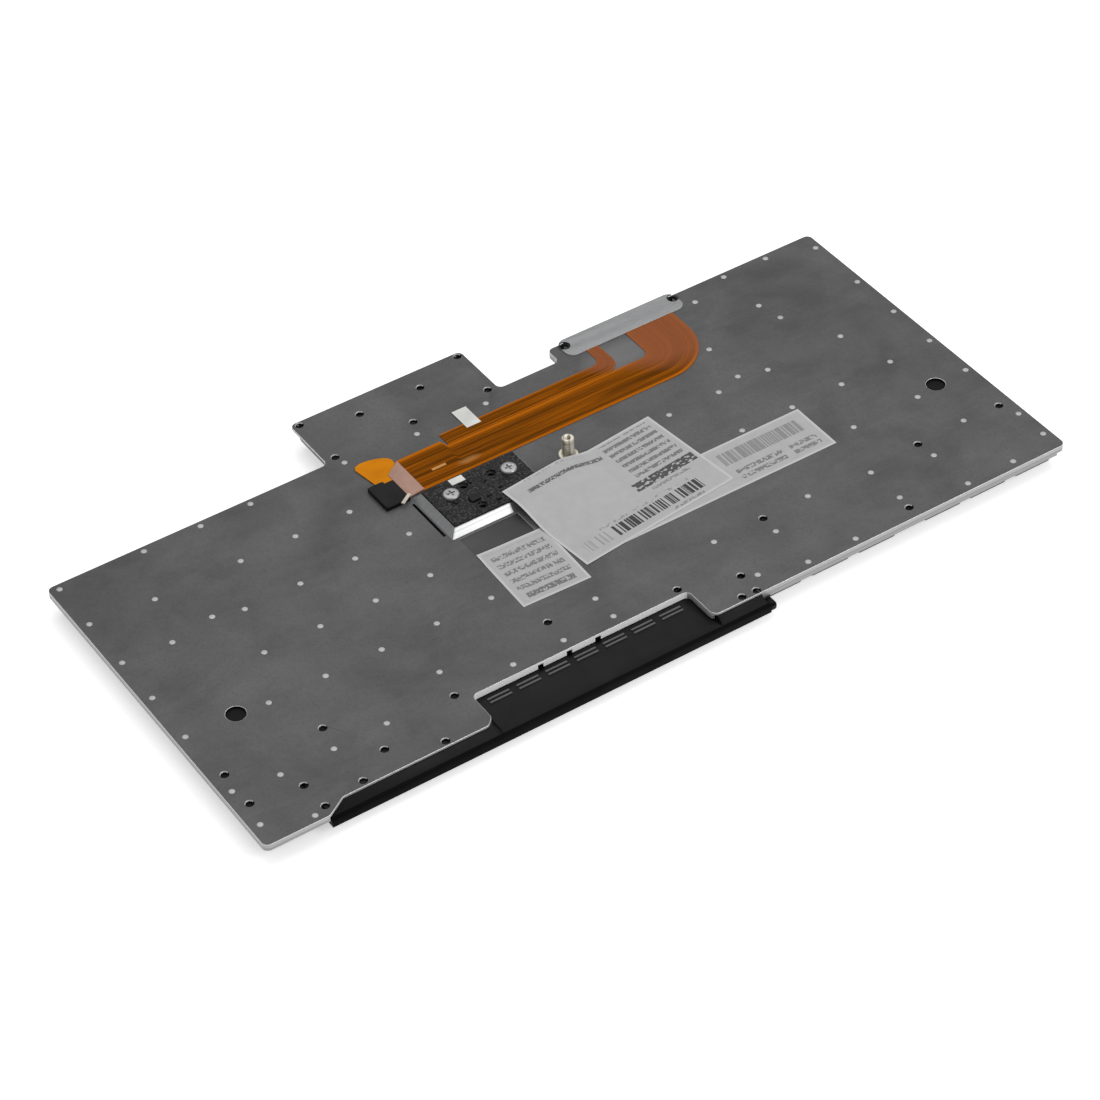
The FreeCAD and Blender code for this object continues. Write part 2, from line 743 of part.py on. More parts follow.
def levers(name, x, y, width, depth):
    """Make the two crossed levers and the foot that carry a key that has no joint."""
    middle_x = f"({x} + {width} / 2)"
    middle_y = f"({y} + {depth} / 2)"
    middle_z = f"((cap_roof + {MEMBRANE} - 2 * lever_sink) / 2)"
    parts = []
    for lean, sign in (("front", 1), ("rear", -1)):
        bar = doc.addObject("Part::Box", f"{name}_lever_{lean}")
        for field, formula in (("Length", "lever_width"), ("Width", "lever_length"),
                               ("Height", "lever_thickness")):
            tie(bar, field, formula)
        tie(bar, "Placement.Rotation.Axis.x", "1")
        tie(bar, "Placement.Rotation.Axis.z", "0")
        tie(bar, "Placement.Rotation.Angle", f"{sign} * lever_angle")
        run = "lever_length / 2 * cos(lever_angle * 1deg)"
        rise = "lever_length / 2 * sin(lever_angle * 1deg)"
        half_run = "lever_thickness / 2 * sin(lever_angle * 1deg)"
        half_rise = "lever_thickness / 2 * cos(lever_angle * 1deg)"
        place(
            bar, f"{middle_x} - lever_width / 2",
            f"{middle_y} - {run} + {sign} * {half_run}",
            f"{middle_z} - {sign} * {rise} - {half_rise}",
        )
        parts.append(bar)
    parts.append(box(
        f"{name}_foot", f"{middle_x} - foot_size / 2", f"{middle_y} - foot_size / 2",
        f"{MEMBRANE} - foot_height", "foot_size", "foot_size", "foot_height",
    ))
    return parts


def dome(name, x, y, width, depth):
    """Make the rubber dome under a key that moves."""
    item = doc.addObject("Part::Cone", f"{name}_dome")
    place(item, f"{x} + {width} / 2", f"{y} + {depth} / 2", "cap_roof + dome_gap")
    tie(item, "Radius1", "dome_top_radius")
    tie(item, "Radius2", "dome_base_radius")
    tie(item, "Height", f"{MEMBRANE} - cap_roof - dome_gap")
    return item


def main_row_keys():
    """List the keys of the five full rows as name, X, Y, width and depth."""
    keys = []
    for row, names in enumerate(KEY_ROWS):
        rear = f"(field_rear + 2 * small_row + {row} * key_pitch + key_gap / 2)"
        start = 0
        for name, units in names:
            left = f"(field_margin + {start} * column_pitch + key_gap / 2)"
            right = f"(field_margin + {start + units} * column_pitch - key_gap / 2)"
            if start == 0:
                left = "edge_key_inset"
            if start + units == SIZES["field_units"]:
                right = "(plate_width - edge_key_inset)"
            keys.append((name, left, rear, f"({right} - {left})", "(key_pitch - key_gap)"))
            start += units
    return keys


def arrow_keys():
    """List the two short rows at the front right."""
    keys = []
    for row, names in enumerate(ARROW_ROWS):
        rear = f"(field_rear + (2 + {row}) * small_row + 4 * key_pitch + key_gap / 2)"
        for column, name in enumerate(names):
            start = f"({ARROW_START} + {column} * arrow_units)"
            left = f"(field_margin + {start} * column_pitch + key_gap / 2)"
            width = "(arrow_units * column_pitch - key_gap)"
            if column == len(names) - 1:
                width = f"(plate_width - edge_key_inset - {left})"
            keys.append((f"+{name}", left, rear, width, "(small_row - key_gap)"))
    return keys


def function_keys():
    """List the two rear rows: the escape key and the groups of four."""
    depth = "(small_row - key_gap)"
    rows = [[(0, "+escape")] + [(n, f"rear_{n}") for n in range(9, 15)]]
    rows.append([(n, f"function_{n}") for n in range(15)])
    keys = []
    for row, entries in enumerate(rows):
        rear = f"(field_rear + {row} * small_row + key_gap / 2)"
        for number, name in entries:
            gaps = number // 4
            start = f"(field_margin + {number} * {FUNCTION_PITCH} + {gaps} * group_gap)"
            left = f"({start} + key_gap / 2)"
            width = f"({FUNCTION_PITCH} - key_gap)"
            if number == 0:
                left = "edge_key_inset"
                width = f"(field_margin + {FUNCTION_PITCH} - key_gap / 2 - edge_key_inset)"
            if number == 14:
                width = f"(plate_width - edge_key_inset - {left})"
            keys.append((name, left, rear, width, depth))
    return keys


def make_fixed_keys(label, keys, round_the_stick):
    """Join each cap of a group with its levers and keep the group as one piece."""
    outers, inners, supports = [], [], []
    for name, *room in keys:
        outer, inner = cap_pair(f"{label}_{name}", *room)
        outers.append(outer)
        inners.append(inner)
        supports.extend(levers(f"{label}_{name}", *room))
    hollow = fuse(f"{label}_hollow", inners)
    solid = fuse(f"{label}_solid", outers)
    if round_the_stick:
        reach = ("stick_place", "stick_row", "0")
        wall = cylinder("Stick_wall", *reach, "stick_cut_radius + cap_wall", "cap_height")
        hollow = cut(f"{label}_hollow_round_stick", hollow, wall)
    joined = fuse(f"{label}_joined", [cut(f"{label}_shells", solid, hollow)] + supports)
    if round_the_stick:
        room_for_stick = cylinder("Stick_room", *reach, "stick_cut_radius", "cap_height")
        joined = cut(f"{label}_round_stick", joined, room_for_stick)
    piece(joined, label)


def make_moving_key(name, *room):
    """Make one hollow cap as a piece of its own."""
    outer, inner = cap_pair(f"Cap_{name}", *room)
    piece(cut(f"Cap_{name}", outer, inner), f"key_{name}")


def make_keys():
    """Make every key, the levers of the fixed ones and the domes of the moving ones."""
    domes = []
    letters = []
    rear_keys = []
    for source, fixed in ((main_row_keys(), letters), (arrow_keys(), None),
                          (function_keys(), rear_keys)):
        for name, *room in source:
            if name.startswith("+"):
                make_moving_key(name[1:], *room)
                domes.append(dome(f"Cap_{name[1:]}", *room))
            else:
                fixed.append((name, *room))
    make_fixed_keys("letter_keys", letters, True)
    make_fixed_keys("function_keys", rear_keys, False)
    piece(group("Domes", domes), "rubber_domes")


def make_blanking_strips():
    """Filler bars between the groups of function keys."""
    strips = []
    for gap in range(1, 4):
        left = f"field_margin + {4 * gap} * {FUNCTION_PITCH} + {gap - 1} * group_gap + strip_margin"
        rear = "field_rear + small_row + strip_margin"
        strips.append(box(
            f"Strip_{gap}", left, rear, "strip_face", "group_gap - 2 * strip_margin",
            "small_row - 2 * strip_margin", f"{MEMBRANE} - strip_face",
        ))
    piece(group("Strips", strips), "blanking_strips")


# Button bar

def bar_pad(body, name, left, right, profile):
    """Add a length of moulding with one cross-section to the button bar."""
    drawing = sketch(body, name, left, "YZ_Plane")
    outline(drawing, profile)
    return pad(body, drawing, f"{right} - {left}")


def make_button_bar():
    """Black moulding that carries the volume, assist and power buttons."""
    body = new_body("Bar")
    bar_pad(body, "Bar_body", "bar_left", "bar_right", [
        (0, "bar_face"), ("bar_depth", "bar_face"), ("bar_depth", "bar_back"),
        ("bar_shelf_start", "bar_back"), ("bar_rear_lean", "bar_rear_shelf"),
    ])
    pads = [
        ("left", "bar_left", "left_pad_right", PLATE_INNER, "bar_pad_end"),
        ("middle", "middle_pad_left", "middle_pad_right", "middle_pad_back", "middle_pad_end"),
        ("right", "right_pad_left", "right_pad_right", PLATE_INNER, "bar_pad_end"),
    ]
    for name, left, right, back, end in pads:
        bar_pad(body, f"Bar_{name}", left, right, [
            ("bar_shelf_start", "bar_back"), (end, "bar_back"), (end, back),
            ("bar_pad_start", back),
        ])
    ribs = sketch(body, "Bar_ribs", "middle_pad_back")
    for row in range(2):
        near = f"rib_place + {row} * rib_row_pitch"
        for count in range(7):
            start = f"rib_first + {count} * rib_pitch"
            outline(ribs, rectangle(start, f"{start} + rib_length", near, f"{near} + rib_width"))
    pad(body, ribs, "rib_height")

    wells = sketch(body, "Bar_wells", "bar_face")
    row = "button_row"
    spots = [(spot, row) for spot in ("volume_down_place", "volume_up_place", "mute_place")]
    circles(wells, spots, "round_button_radius + button_clearance")
    half = "(assist_width / 2 + button_clearance)"
    reach = "(assist_depth / 2 + button_clearance)"
    outline(wells, rectangle(f"assist_place - {half}", f"assist_place + {half}",
                             f"{row} - {reach}", f"{row} + {reach}"))
    circles(wells, [("power_place", row)], "power_radius + button_clearance")
    depth = "button_top + button_thickness + button_travel + button_clearance - bar_face"
    pocket(body, wells, depth, True)
    piece(body, "button_bar")


def make_bar_buttons():
    """The three volume buttons, the long assist button and the power button."""
    for label in ("volume_down", "volume_up", "mute", "power"):
        radius = "power_radius" if label == "power" else "round_button_radius"
        knob = cylinder(f"Knob_{label}", f"{label}_place", "button_row", "button_top",
                        radius, "button_thickness")
        piece(group(f"Button_{label}", [knob]), f"button_{label}")
    knob = box("Knob_assist", "assist_place - assist_width / 2", "button_row - assist_depth / 2",
               "button_top", "assist_width", "assist_depth", "button_thickness")
    piece(group("Button_assist", [knob]), "button_assist")


# Pointing stick unit

def make_stick_bracket():
    """Pressed steel cover that stands off the underside over the stick."""
    inset = "bracket_inset"
    wall = "bracket_wall"
    none = ("0", "0", "0", "0")
    slopes = (inset, inset, inset, inset)
    width = "(bracket_right - bracket_left)"
    depth = "(bracket_front - bracket_rear)"
    outer = frustum("Bracket_outer", ("bracket_left", "bracket_rear", UNDERSIDE),
                    (width, depth, "bracket_height"), none, slopes)
    inner = frustum("Bracket_inner",
                    (f"bracket_left + {wall}", f"bracket_rear + {wall}", UNDERSIDE),
                    (f"({width} - 2 * {wall})", f"({depth} - 2 * {wall})",
                     f"bracket_height - {wall}"), none, slopes)
    shell = cut("Bracket_shell", outer, inner)
    tools = [cylinder("Bracket_opening", "stick_place", "stick_row", UNDERSIDE,
                      "bracket_opening_radius", "bracket_height")]
    for side in ("left", "right"):
        tools.append(cylinder(f"Bracket_hole_{side}", f"unit_screw_{side}", "unit_screw_row",
                              UNDERSIDE, "unit_screw_radius + unit_screw_fit", "bracket_height"))
    for number, (x, y) in enumerate(BOARD_HOLES):
        tools.append(cylinder(f"Bracket_sight_{number}", x, y, UNDERSIDE, "board_hole_radius",
                              "bracket_height"))
    piece(cut("Bracket", shell, fuse("Bracket_holes", tools)), "stick_bracket")


def make_stick_board():
    """Circuit board of the pointing stick, screwed to the bracket."""
    board = box("Board_plate", "bracket_left + bracket_inset", "bracket_rear + bracket_inset",
                BRACKET_TOP, "bracket_right - bracket_left - 2 * bracket_inset",
                "bracket_front - bracket_rear - 2 * bracket_inset", "board_thickness")
    tools = []
    for side in ("left", "right"):
        tools.append(cylinder(f"Board_screw_hole_{side}", f"unit_screw_{side}",
                              "unit_screw_row", BRACKET_TOP,
                              "unit_screw_radius + unit_screw_fit", "board_thickness"))
    for number, (x, y) in enumerate(BOARD_HOLES):
        tools.append(cylinder(f"Board_sight_{number}", x, y, BRACKET_TOP, "board_hole_radius",
                              "board_thickness"))
    piece(cut("Board", board, fuse("Board_holes", tools)), "stick_board")


def make_stick_screws():
    """Two cross-recessed pan screws."""
    screws = []
    for side in ("left", "right"):
        x, y = f"unit_screw_{side}", "unit_screw_row"
        head = cylinder(f"Screw_head_{side}", x, y, BOARD_TOP, "unit_screw_head_radius",
                        "unit_screw_head_height")
        shank = cylinder(f"Screw_shank_{side}", x, y, f"{BOARD_TOP} - unit_screw_length",
                         "unit_screw_radius", "unit_screw_length")
        floor = f"{BOARD_TOP} + unit_screw_head_height - recess_depth"
        arms = []
        for direction, (width, depth) in (("along", ("recess_length", "recess_width")),
                                          ("across", ("recess_width", "recess_length"))):
            arms.append(box(f"Recess_{direction}_{side}", f"{x} - {width} / 2",
                            f"{y} - {depth} / 2", floor, width, depth, "recess_depth"))
        solid = fuse(f"Screw_solid_{side}", [head, shank])
        screws.append(cut(f"Screw_{side}", solid, fuse(f"Recess_{side}", arms)))
    piece(group("Screws", screws), "stick_screws")


def make_stick():
    """Post of the pointing stick with its flange under the board, and its soft cap."""
    x, y = "stick_place", "stick_row"
    flange = cylinder("Post_flange", x, y, f"{BRACKET_TOP} - post_flange_height",
                      "post_flange_radius", "post_flange_height")
    shaft = box("Post_shaft", f"{x} - post_width / 2", f"{y} - post_width / 2", "post_end",
                "post_width", "post_width", f"{BRACKET_TOP} - post_flange_height - post_end")
    piece(fuse("Post", [flange, shaft]), "stick_post")

    cap = cylinder("Cap_round", x, y, "stick_cap_face", "stick_cap_radius", "stick_cap_height")
    socket = "(post_width + 2 * post_fit)"
    well = box("Cap_socket", f"{x} - {socket} / 2", f"{y} - {socket} / 2", "post_end",
               socket, socket, "stick_cap_height")
    piece(cut("Stick_cap", cap, well), "stick_cap")


def make_mounting_post():
    """Turned brass post with a blind thread, open at its free end."""
    x, y = "brass_place", "brass_row"
    flange = cylinder("Brass_flange", x, y, UNDERSIDE, "brass_flange_radius",
                      "brass_flange_height")
    stem = cylinder("Brass_stem", x, y, UNDERSIDE, "brass_radius", "brass_height")
    bore = cylinder("Brass_bore", x, y, f"{UNDERSIDE} + brass_height - thread_depth",
                    "thread_radius", "thread_depth")
    piece(cut("Brass_post", fuse("Brass_solid", [flange, stem]), bore), "mounting_post")


# Ribbon cables, clamp and labels

def make_flex_clamp():
    """Light metal bar over the end of the ribbons, notched round two screw holes."""
    body, bar = slab("Clamp", UNDERSIDE, "clamp_height",
                     rectangle("clamp_left", "clamp_right", "clamp_rear", "clamp_front"))
    round_edges(body, bar, "clamp_corner", upright)
    notches = sketch(body, "Clamp_notches", f"{UNDERSIDE} + clamp_height")
    circles(notches, CLAMP_HOLES, "clamp_notch_radius")
    pocket(body, notches, "clamp_height", False)
    piece(body, "flex_clamp")


def make_main_flex():
    """Wide ribbon cable that turns from the connector to the clamp."""
    body, ribbon = slab("Main_ribbon", UNDERSIDE, "ribbon_thickness", [
        ("ribbon_start", "ribbon_rear"), ("ribbon_turn_right", "ribbon_rear"),
        ("ribbon_turn_right", "clamp_rear"), ("ribbon_turn_left", "clamp_rear"),
        ("ribbon_turn_left", "ribbon_front"), ("ribbon_narrow_start", "ribbon_front"),
        ("ribbon_wide_end", "ribbon_wide_front"), ("ribbon_wide_start", "ribbon_wide_front"),
        ("ribbon_start", "ribbon_corner_front"),
    ])
    outer = round_edges(body, ribbon, "ribbon_outer_bend",
                        upright_at("ribbon_turn_right", "ribbon_rear"))
    round_edges(body, outer, "ribbon_inner_bend", upright_at("ribbon_turn_left", "ribbon_front"))
    piece(body, "main_flex")


def make_stick_flex():
    """Narrow ribbon cable of the pointing stick, beside the wide one."""
    body, ribbon = slab("Second_ribbon", UNDERSIDE, "ribbon_thickness", [
        ("second_left", "second_rear"), ("second_turn_right", "second_rear"),
        ("second_turn_right", "clamp_rear"), ("second_turn_left", "clamp_rear"),
        ("second_turn_left", "second_front"), ("second_left", "second_front"),
    ])
    outer = round_edges(body, ribbon, "second_outer_bend",
                        upright_at("second_turn_right", "second_rear"))
    round_edges(body, outer, "second_inner_bend", upright_at("second_turn_left", "second_front"))
    piece(body, "stick_flex")


def make_connector():
    """Black connector with the stiffened ribbon end and the pull tab beside it."""
    socket = box("Socket", "connector_left", "connector_rear", UNDERSIDE,
                 "connector_right - connector_left", "connector_front - connector_rear",
                 "connector_height")
    piece(group("Connector", [socket]), "board_connector")

    body, _ = slab("Stiffener", RIBBON_TOP, "stiffener_thickness", [
        ("ribbon_start", "stiffener_rear"), ("stiffener_right", "stiffener_rear_right"),
        ("stiffener_right", "stiffener_front_right"), ("ribbon_start", "stiffener_front"),
    ])
    piece(body, "flex_stiffener")

    body, tab = slab("Pull_tab", RIBBON_TOP, "ribbon_thickness", [
        ("pull_left", "pull_rear"), ("pull_mid", "pull_rear + 0.4"),
        ("pull_right", "pull_edge_front"), ("pull_right", "pull_front"),
        ("pull_left", "pull_front"),
    ])
    rounded = round_edges(body, tab, "pull_corner", upright_at("pull_left", "pull_front"))
    small = [upright_at("pull_right", "pull_front"), upright_at("pull_right", "pull_edge_front")]
    round_edges(body, rounded, "pull_small_corner", lambda edge: any(at(edge) for at in small))
    piece(body, "pull_tab")


def make_tape_patches():
    """Two pieces of white tape, one over the narrow ribbon and one on the board."""
    long_tape = box("Tape_on_ribbon", "tape_left", "tape_rear", RIBBON_TOP, "tape_width",
                    "tape_length", "tape_thickness")
    short_tape = box("Tape_on_board", "board_tape_left", "board_tape_rear", BOARD_TOP,
                     "board_tape_width", "board_tape_length", "tape_thickness")
    piece(group("Tapes", [long_tape, short_tape]), "tape_patches")


def make_flat_labels():
    """Long strip label and small label, both flat on the plate."""
    strip = box("Strip_paper", "strip_label_left", "strip_label_rear", UNDERSIDE,
                "strip_label_width", "strip_label_height", "label_thickness")
    piece(group("Strip_label", [strip]), "label_strip")

    body = new_body("Small_label")
    drawing = sketch(body, "Small_label_outline", UNDERSIDE)
    outline(drawing, turned_corners("small_label"))
    pad(body, drawing, "label_thickness")
    piece(body, "label_small")


def turned_corners(label):
    """Give the corners of a rectangular label that is turned about its middle."""
    corners = []
    for across, along in ((-1, -1), (1, -1), (1, 1), (-1, 1)):
        half_width = f"({across} * {label}_width / 2)"
        half_height = f"({along} * {label}_height / 2)"
        cosine = f"cos({label}_angle * 1deg)"
        sine = f"sin({label}_angle * 1deg)"
        corners.append((
            f"{label}_place + {half_width} * {cosine} - {half_height} * {sine}",
            f"{label}_row + {half_width} * {sine} + {half_height} * {cosine}",
        ))
    return corners


def tent_lift(x, y):
    """Tell how far the large label is lifted where it runs over the bracket."""
    flat_left, foot_right = sheet.get("tent_flat_left"), sheet.get("tent_foot_right")
    flat_rear, foot_rear = sheet.get("tent_flat_rear"), sheet.get("tent_foot_rear")
    across = (foot_right - x) / (foot_right - flat_left)
    along = (y - foot_rear) / (flat_rear - foot_rear)
    return sheet.get("tent_rise") * max(0.0, min(1.0, across, along))


def label_grid(columns, rows, level):
    """Give the points of the large label's lower face in rows."""
    angle = math.radians(sheet.get("large_label_angle"))
    grid = []
    for j in range(rows + 1):
        across_y = (j / rows - 0.5) * sheet.get("large_label_height")
        line = []
        for i in range(columns + 1):
            across_x = (i / columns - 0.5) * sheet.get("large_label_width")
            x = across_x * math.cos(angle) - across_y * math.sin(angle)
            y = across_x * math.sin(angle) + across_y * math.cos(angle)
            x += sheet.get("large_label_place")
            y += sheet.get("large_label_row")
            line.append(FreeCAD.Vector(x, y, level + tent_lift(x, y)))
        grid.append(line)
    return grid


def make_large_label():
    """Paper label that tents over the corner of the bracket, cut round the brass post."""
    stack = ("cap_height", "key_travel", "press_clearance", "membrane_thickness",
             "plate_thickness", "label_thickness")
    level = sum(sheet.get(size) for size in stack)
    columns, rows = 10, 7
    low = label_grid(columns, rows, level)
    thickness = FreeCAD.Vector(0, 0, sheet.get("label_thickness"))
    high = [[point + thickness for point in line] for line in low]

    def triangle(a, b, c):
        return Part.Face(Part.makePolygon([a, b, c, a]))

    faces = []
    for grid in (low, high):
        for j in range(rows):
            for i in range(columns):
                a, b = grid[j][i], grid[j][i + 1]
                c, d = grid[j + 1][i + 1], grid[j + 1][i]
                faces += [triangle(a, b, c), triangle(a, c, d)]
    edges = [(low[0], high[0]), (low[-1], high[-1])]
    edges += [([line[k] for line in low], [line[k] for line in high]) for k in (0, -1)]
    for under, over in edges:
        for k in range(len(under) - 1):
            faces += [triangle(under[k], under[k + 1], over[k + 1]),
                      triangle(under[k], over[k + 1], over[k])]
    paper = Part.makeSolid(Part.makeShell(faces))
    if paper.Volume < 0:
        paper.reverse()
    room = Part.makeCylinder(sheet.get("label_cutout_radius"), 2 * level)
    room.translate(FreeCAD.Vector(sheet.get("brass_place"), sheet.get("brass_row"), 0))
    item = doc.addObject("Part::Feature", "Large_label")
    item.Shape = paper.cut(room)
    piece(item, "label_large")


# Buttons of the pointing stick

def make_button_frame():
    """Thin plastic frame under the tab that carries the three stick buttons."""
    body, _ = slab("Button_frame", f"{PLATE_INNER} - button_frame_thickness",
                   "button_frame_thickness",
                   rectangle("button_frame_left", "button_frame_right",
                             "button_frame_rear", BUTTON_FRAME_FRONT))
    gap_middles = ["(stick_button_left_end + stick_button_gap / 2)",
                   "(stick_button_right_start - stick_button_gap / 2)"]
    level = f"{PLATE_INNER} - button_frame_thickness - button_rib_height"
    ribs = sketch(body, "Button_ribs", level)
    for middle in gap_middles:
        left, right = f"{middle} - button_rib_width / 2", f"{middle} + button_rib_width / 2"
        outline(ribs, rectangle(left, right, "stick_button_rear", STICK_BUTTON_FRONT))
    pad(body, ribs, "button_rib_height")
    piece(body, "stick_button_frame")


def make_stick_buttons():
    """Left, middle and right button, hollow and open towards the tab."""
    spans = [
        ("left", "stick_button_left_start", "stick_button_left_end"),
        ("middle", "(stick_button_left_end + stick_button_gap)",
         "(stick_button_right_start - stick_button_gap)"),
        ("right", "stick_button_right_start", "stick_button_right_end"),
    ]
    inset = "stick_button_inset"
    slopes = (inset, inset, inset, inset)
    none = ("0", "0", "0", "0")
    depth = "stick_button_depth"
    for side, start, end in spans:
        width = f"({end} - {start})"
        outer = frustum(f"Stick_button_outer_{side}",
                        (start, "stick_button_rear", "stick_button_face"),
                        (width, depth, "stick_button_height"), slopes, none)
        inner = frustum(f"Stick_button_inner_{side}",
                        (f"{start} + cap_wall", "stick_button_rear + cap_wall",
                         "stick_button_face + cap_wall"),
                        (f"({width} - 2 * cap_wall)", f"({depth} - 2 * cap_wall)",
                         "stick_button_height - cap_wall"), slopes, none)
        piece(cut(f"Stick_button_{side}", outer, inner), f"stick_button_{side}")


def check_and_write():
    """Stop on any failed object or empty shape, then write one file for each piece."""
    doc.recompute()
    for item in doc.Objects:
        if "Invalid" in item.State or "Error" in item.State:
            raise RuntimeError(f"{item.Name} has failed: {item.State}")
    for item in pieces:
        if item.Shape.isNull() or not item.Shape.isValid():
            raise RuntimeError(f"{item.Label} has no valid shape")
    os.makedirs("parts", exist_ok=True)
    for item in pieces:
        item.Shape.exportStep(f"parts/{item.Label}.step")
        print(item.Label, len(item.Shape.Solids), round(item.Shape.Volume, 1))


make_base_plate()
make_plate_rivets()
make_membrane()
make_keys()
make_blanking_strips()
make_button_bar()
make_bar_buttons()
make_stick_bracket()
make_stick_board()
make_stick_screws()
make_stick()
make_mounting_post()
make_flex_clamp()
make_main_flex()
make_stick_flex()
make_connector()
make_tape_patches()
make_flat_labels()
make_large_label()
make_button_frame()
make_stick_buttons()
check_and_write()
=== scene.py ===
import json
import math
import random

import bmesh
import bpy
from bpy.props import FloatProperty, FloatVectorProperty, IntProperty, PointerProperty
from bpy.types import Operator, Panel, PropertyGroup
from mathutils import Matrix, Vector


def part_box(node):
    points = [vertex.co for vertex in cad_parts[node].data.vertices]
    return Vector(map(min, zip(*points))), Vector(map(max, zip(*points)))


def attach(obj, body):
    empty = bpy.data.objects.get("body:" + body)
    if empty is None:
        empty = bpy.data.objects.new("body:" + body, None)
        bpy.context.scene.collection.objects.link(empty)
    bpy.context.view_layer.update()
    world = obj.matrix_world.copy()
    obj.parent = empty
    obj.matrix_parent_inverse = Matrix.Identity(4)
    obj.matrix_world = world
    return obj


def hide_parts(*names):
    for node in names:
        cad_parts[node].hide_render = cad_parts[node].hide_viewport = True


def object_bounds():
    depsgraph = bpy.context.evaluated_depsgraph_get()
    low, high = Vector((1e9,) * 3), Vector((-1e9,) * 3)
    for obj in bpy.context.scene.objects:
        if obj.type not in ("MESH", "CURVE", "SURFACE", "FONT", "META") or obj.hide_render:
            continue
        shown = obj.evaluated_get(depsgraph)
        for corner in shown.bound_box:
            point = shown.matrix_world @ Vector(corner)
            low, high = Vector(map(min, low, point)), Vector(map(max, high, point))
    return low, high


bl_info = {
    "name": "Laptop keyboard underside",
    "version": (1, 0, 0),
    "blender": (4, 5, 0),
    "location": "3D View > Sidebar > Keyboard",
    "description": "Dresses a laptop keyboard module that lies on its keys",
    "category": "Object",
}

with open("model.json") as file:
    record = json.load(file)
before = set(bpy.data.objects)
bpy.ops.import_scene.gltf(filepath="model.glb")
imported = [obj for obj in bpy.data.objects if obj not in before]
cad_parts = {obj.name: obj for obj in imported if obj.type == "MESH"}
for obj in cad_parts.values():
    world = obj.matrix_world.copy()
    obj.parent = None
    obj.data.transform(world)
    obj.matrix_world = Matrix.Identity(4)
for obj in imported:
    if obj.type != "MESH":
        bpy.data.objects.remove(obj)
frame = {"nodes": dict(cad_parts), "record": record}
CAD_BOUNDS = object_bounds()
MM = 0.001
CHASSIS = "chassis"


def vectors(points):
    """Turn plain corners into vectors."""
    return [Vector(point) for point in points]


PLATE_LOW, PLATE_HIGH = vectors(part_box("base_plate"))
UNDERSIDE = PLATE_HIGH.z


def plate_point(x, y, z=0):
    """Turn a place measured from the plate's rear left corner into the frame, in metres."""
    return Vector((PLATE_LOW.x + x * MM, PLATE_LOW.y + y * MM, z * MM))


CLAMP_SCREWS = [plate_point(188.5, 133.4), plate_point(230.6, 133.4)]
# The bar's right end, which reaches a little past the plate's notch
BAR_END = (plate_point(171.9, 0.2, 3.05), plate_point(174.2, 4.1, 5.6))
# Screw holes with dark film discs behind them as painted shade
SHADED_HOLES = [(20.8, 14.2), (21.6, 4.0), (74.3, 20.0), (151.7, 19.5), (170.6, 13.5)]
# Finishes of the plate, in the order of its materials; all but the coat paint light or shade
COAT, EDGE_HIGHLIGHT, RIM, HOLE_SHADE, FLANGE_HIGHLIGHT = range(5)
# Letter-like marks cover more of the paper than bars do, so they are printed fainter
LETTER_STRENGTH = 0.78
# What the numbers of a block of print say, with lengths in millimetres from a label's corner.
# A block without a pitch is a field of upright bars.
PRINT = ["left", "right", "low", "high", "dashes", "gaps", "strength", "pitch", "fill"]


# Values that a user would change

def paint(red, green, blue):
    """Turn a colour as a screen shows it, 0 to 255, into a material's linear numbers."""
    parts = [channel / 255 for channel in (red, green, blue)]
    return tuple(((c + 0.055) / 1.055) ** 2.4 if c > 0.04 else c / 12.92 for c in parts)


def size(name, description, millimetres):
    """Describe a length setting."""
    return FloatProperty(name=name, description=description, default=millimetres * MM,
                         unit="LENGTH", subtype="DISTANCE", precision=5)


def tint(name, description, red, green, blue):
    """Describe a colour setting."""
    return FloatVectorProperty(name=name, description=description, size=3, min=0, max=1,
                               default=paint(red, green, blue), subtype="COLOR")


def share(name, description, default):
    """Describe a setting between nothing and all."""
    return FloatProperty(name=name, description=description, default=default, min=0, max=1,
                         subtype="FACTOR")


def power(name, description, watts):
    """Describe how strong a light is."""
    return FloatProperty(name=name, description=description, default=watts, min=0,
                         unit="POWER")


class PlateSettings(PropertyGroup):
    """Base plate, its rivets and the metal parts on it."""

    bend: size("Edge bend", "Radius of the plate's outer edges", 0.5)
    coat_dark: tint("Dark coat", "Darker clouds of the plate's coat", 73, 73, 74)
    coat_light: tint("Light coat", "Lighter clouds of the plate's coat", 97, 97, 97)
    # Near-white painted highlight for the rounded bends; darker copies of it paint the rim's light
    # and shade
    edge: tint("Edge highlight", "Painted highlight along the bends", 236, 236, 236)
    rear_lip: size("Rear lip", "How much deeper the rear rim reaches than the others", 0.8)
    cloud: size("Cloud size", "Width of the mottling on the coat", 24.0)
    rivet: tint("Rivet", "Rivet heads", 184, 185, 184)
    rivet_steps: IntProperty(name="Rivet steps", description="Sides of a rivet head",
                             default=14, min=8, max=32)
    bright: tint("Bright steel", "Bracket and screws", 214, 214, 214)
    clamp: tint("Clamp", "Clamp bar over the ribbons", 152, 153, 154)
    clamp_lift: size("Clamp lift", "How far the clamp bar stands out", 0.45)
    brass: tint("Brass", "Threaded post", 218, 212, 194)


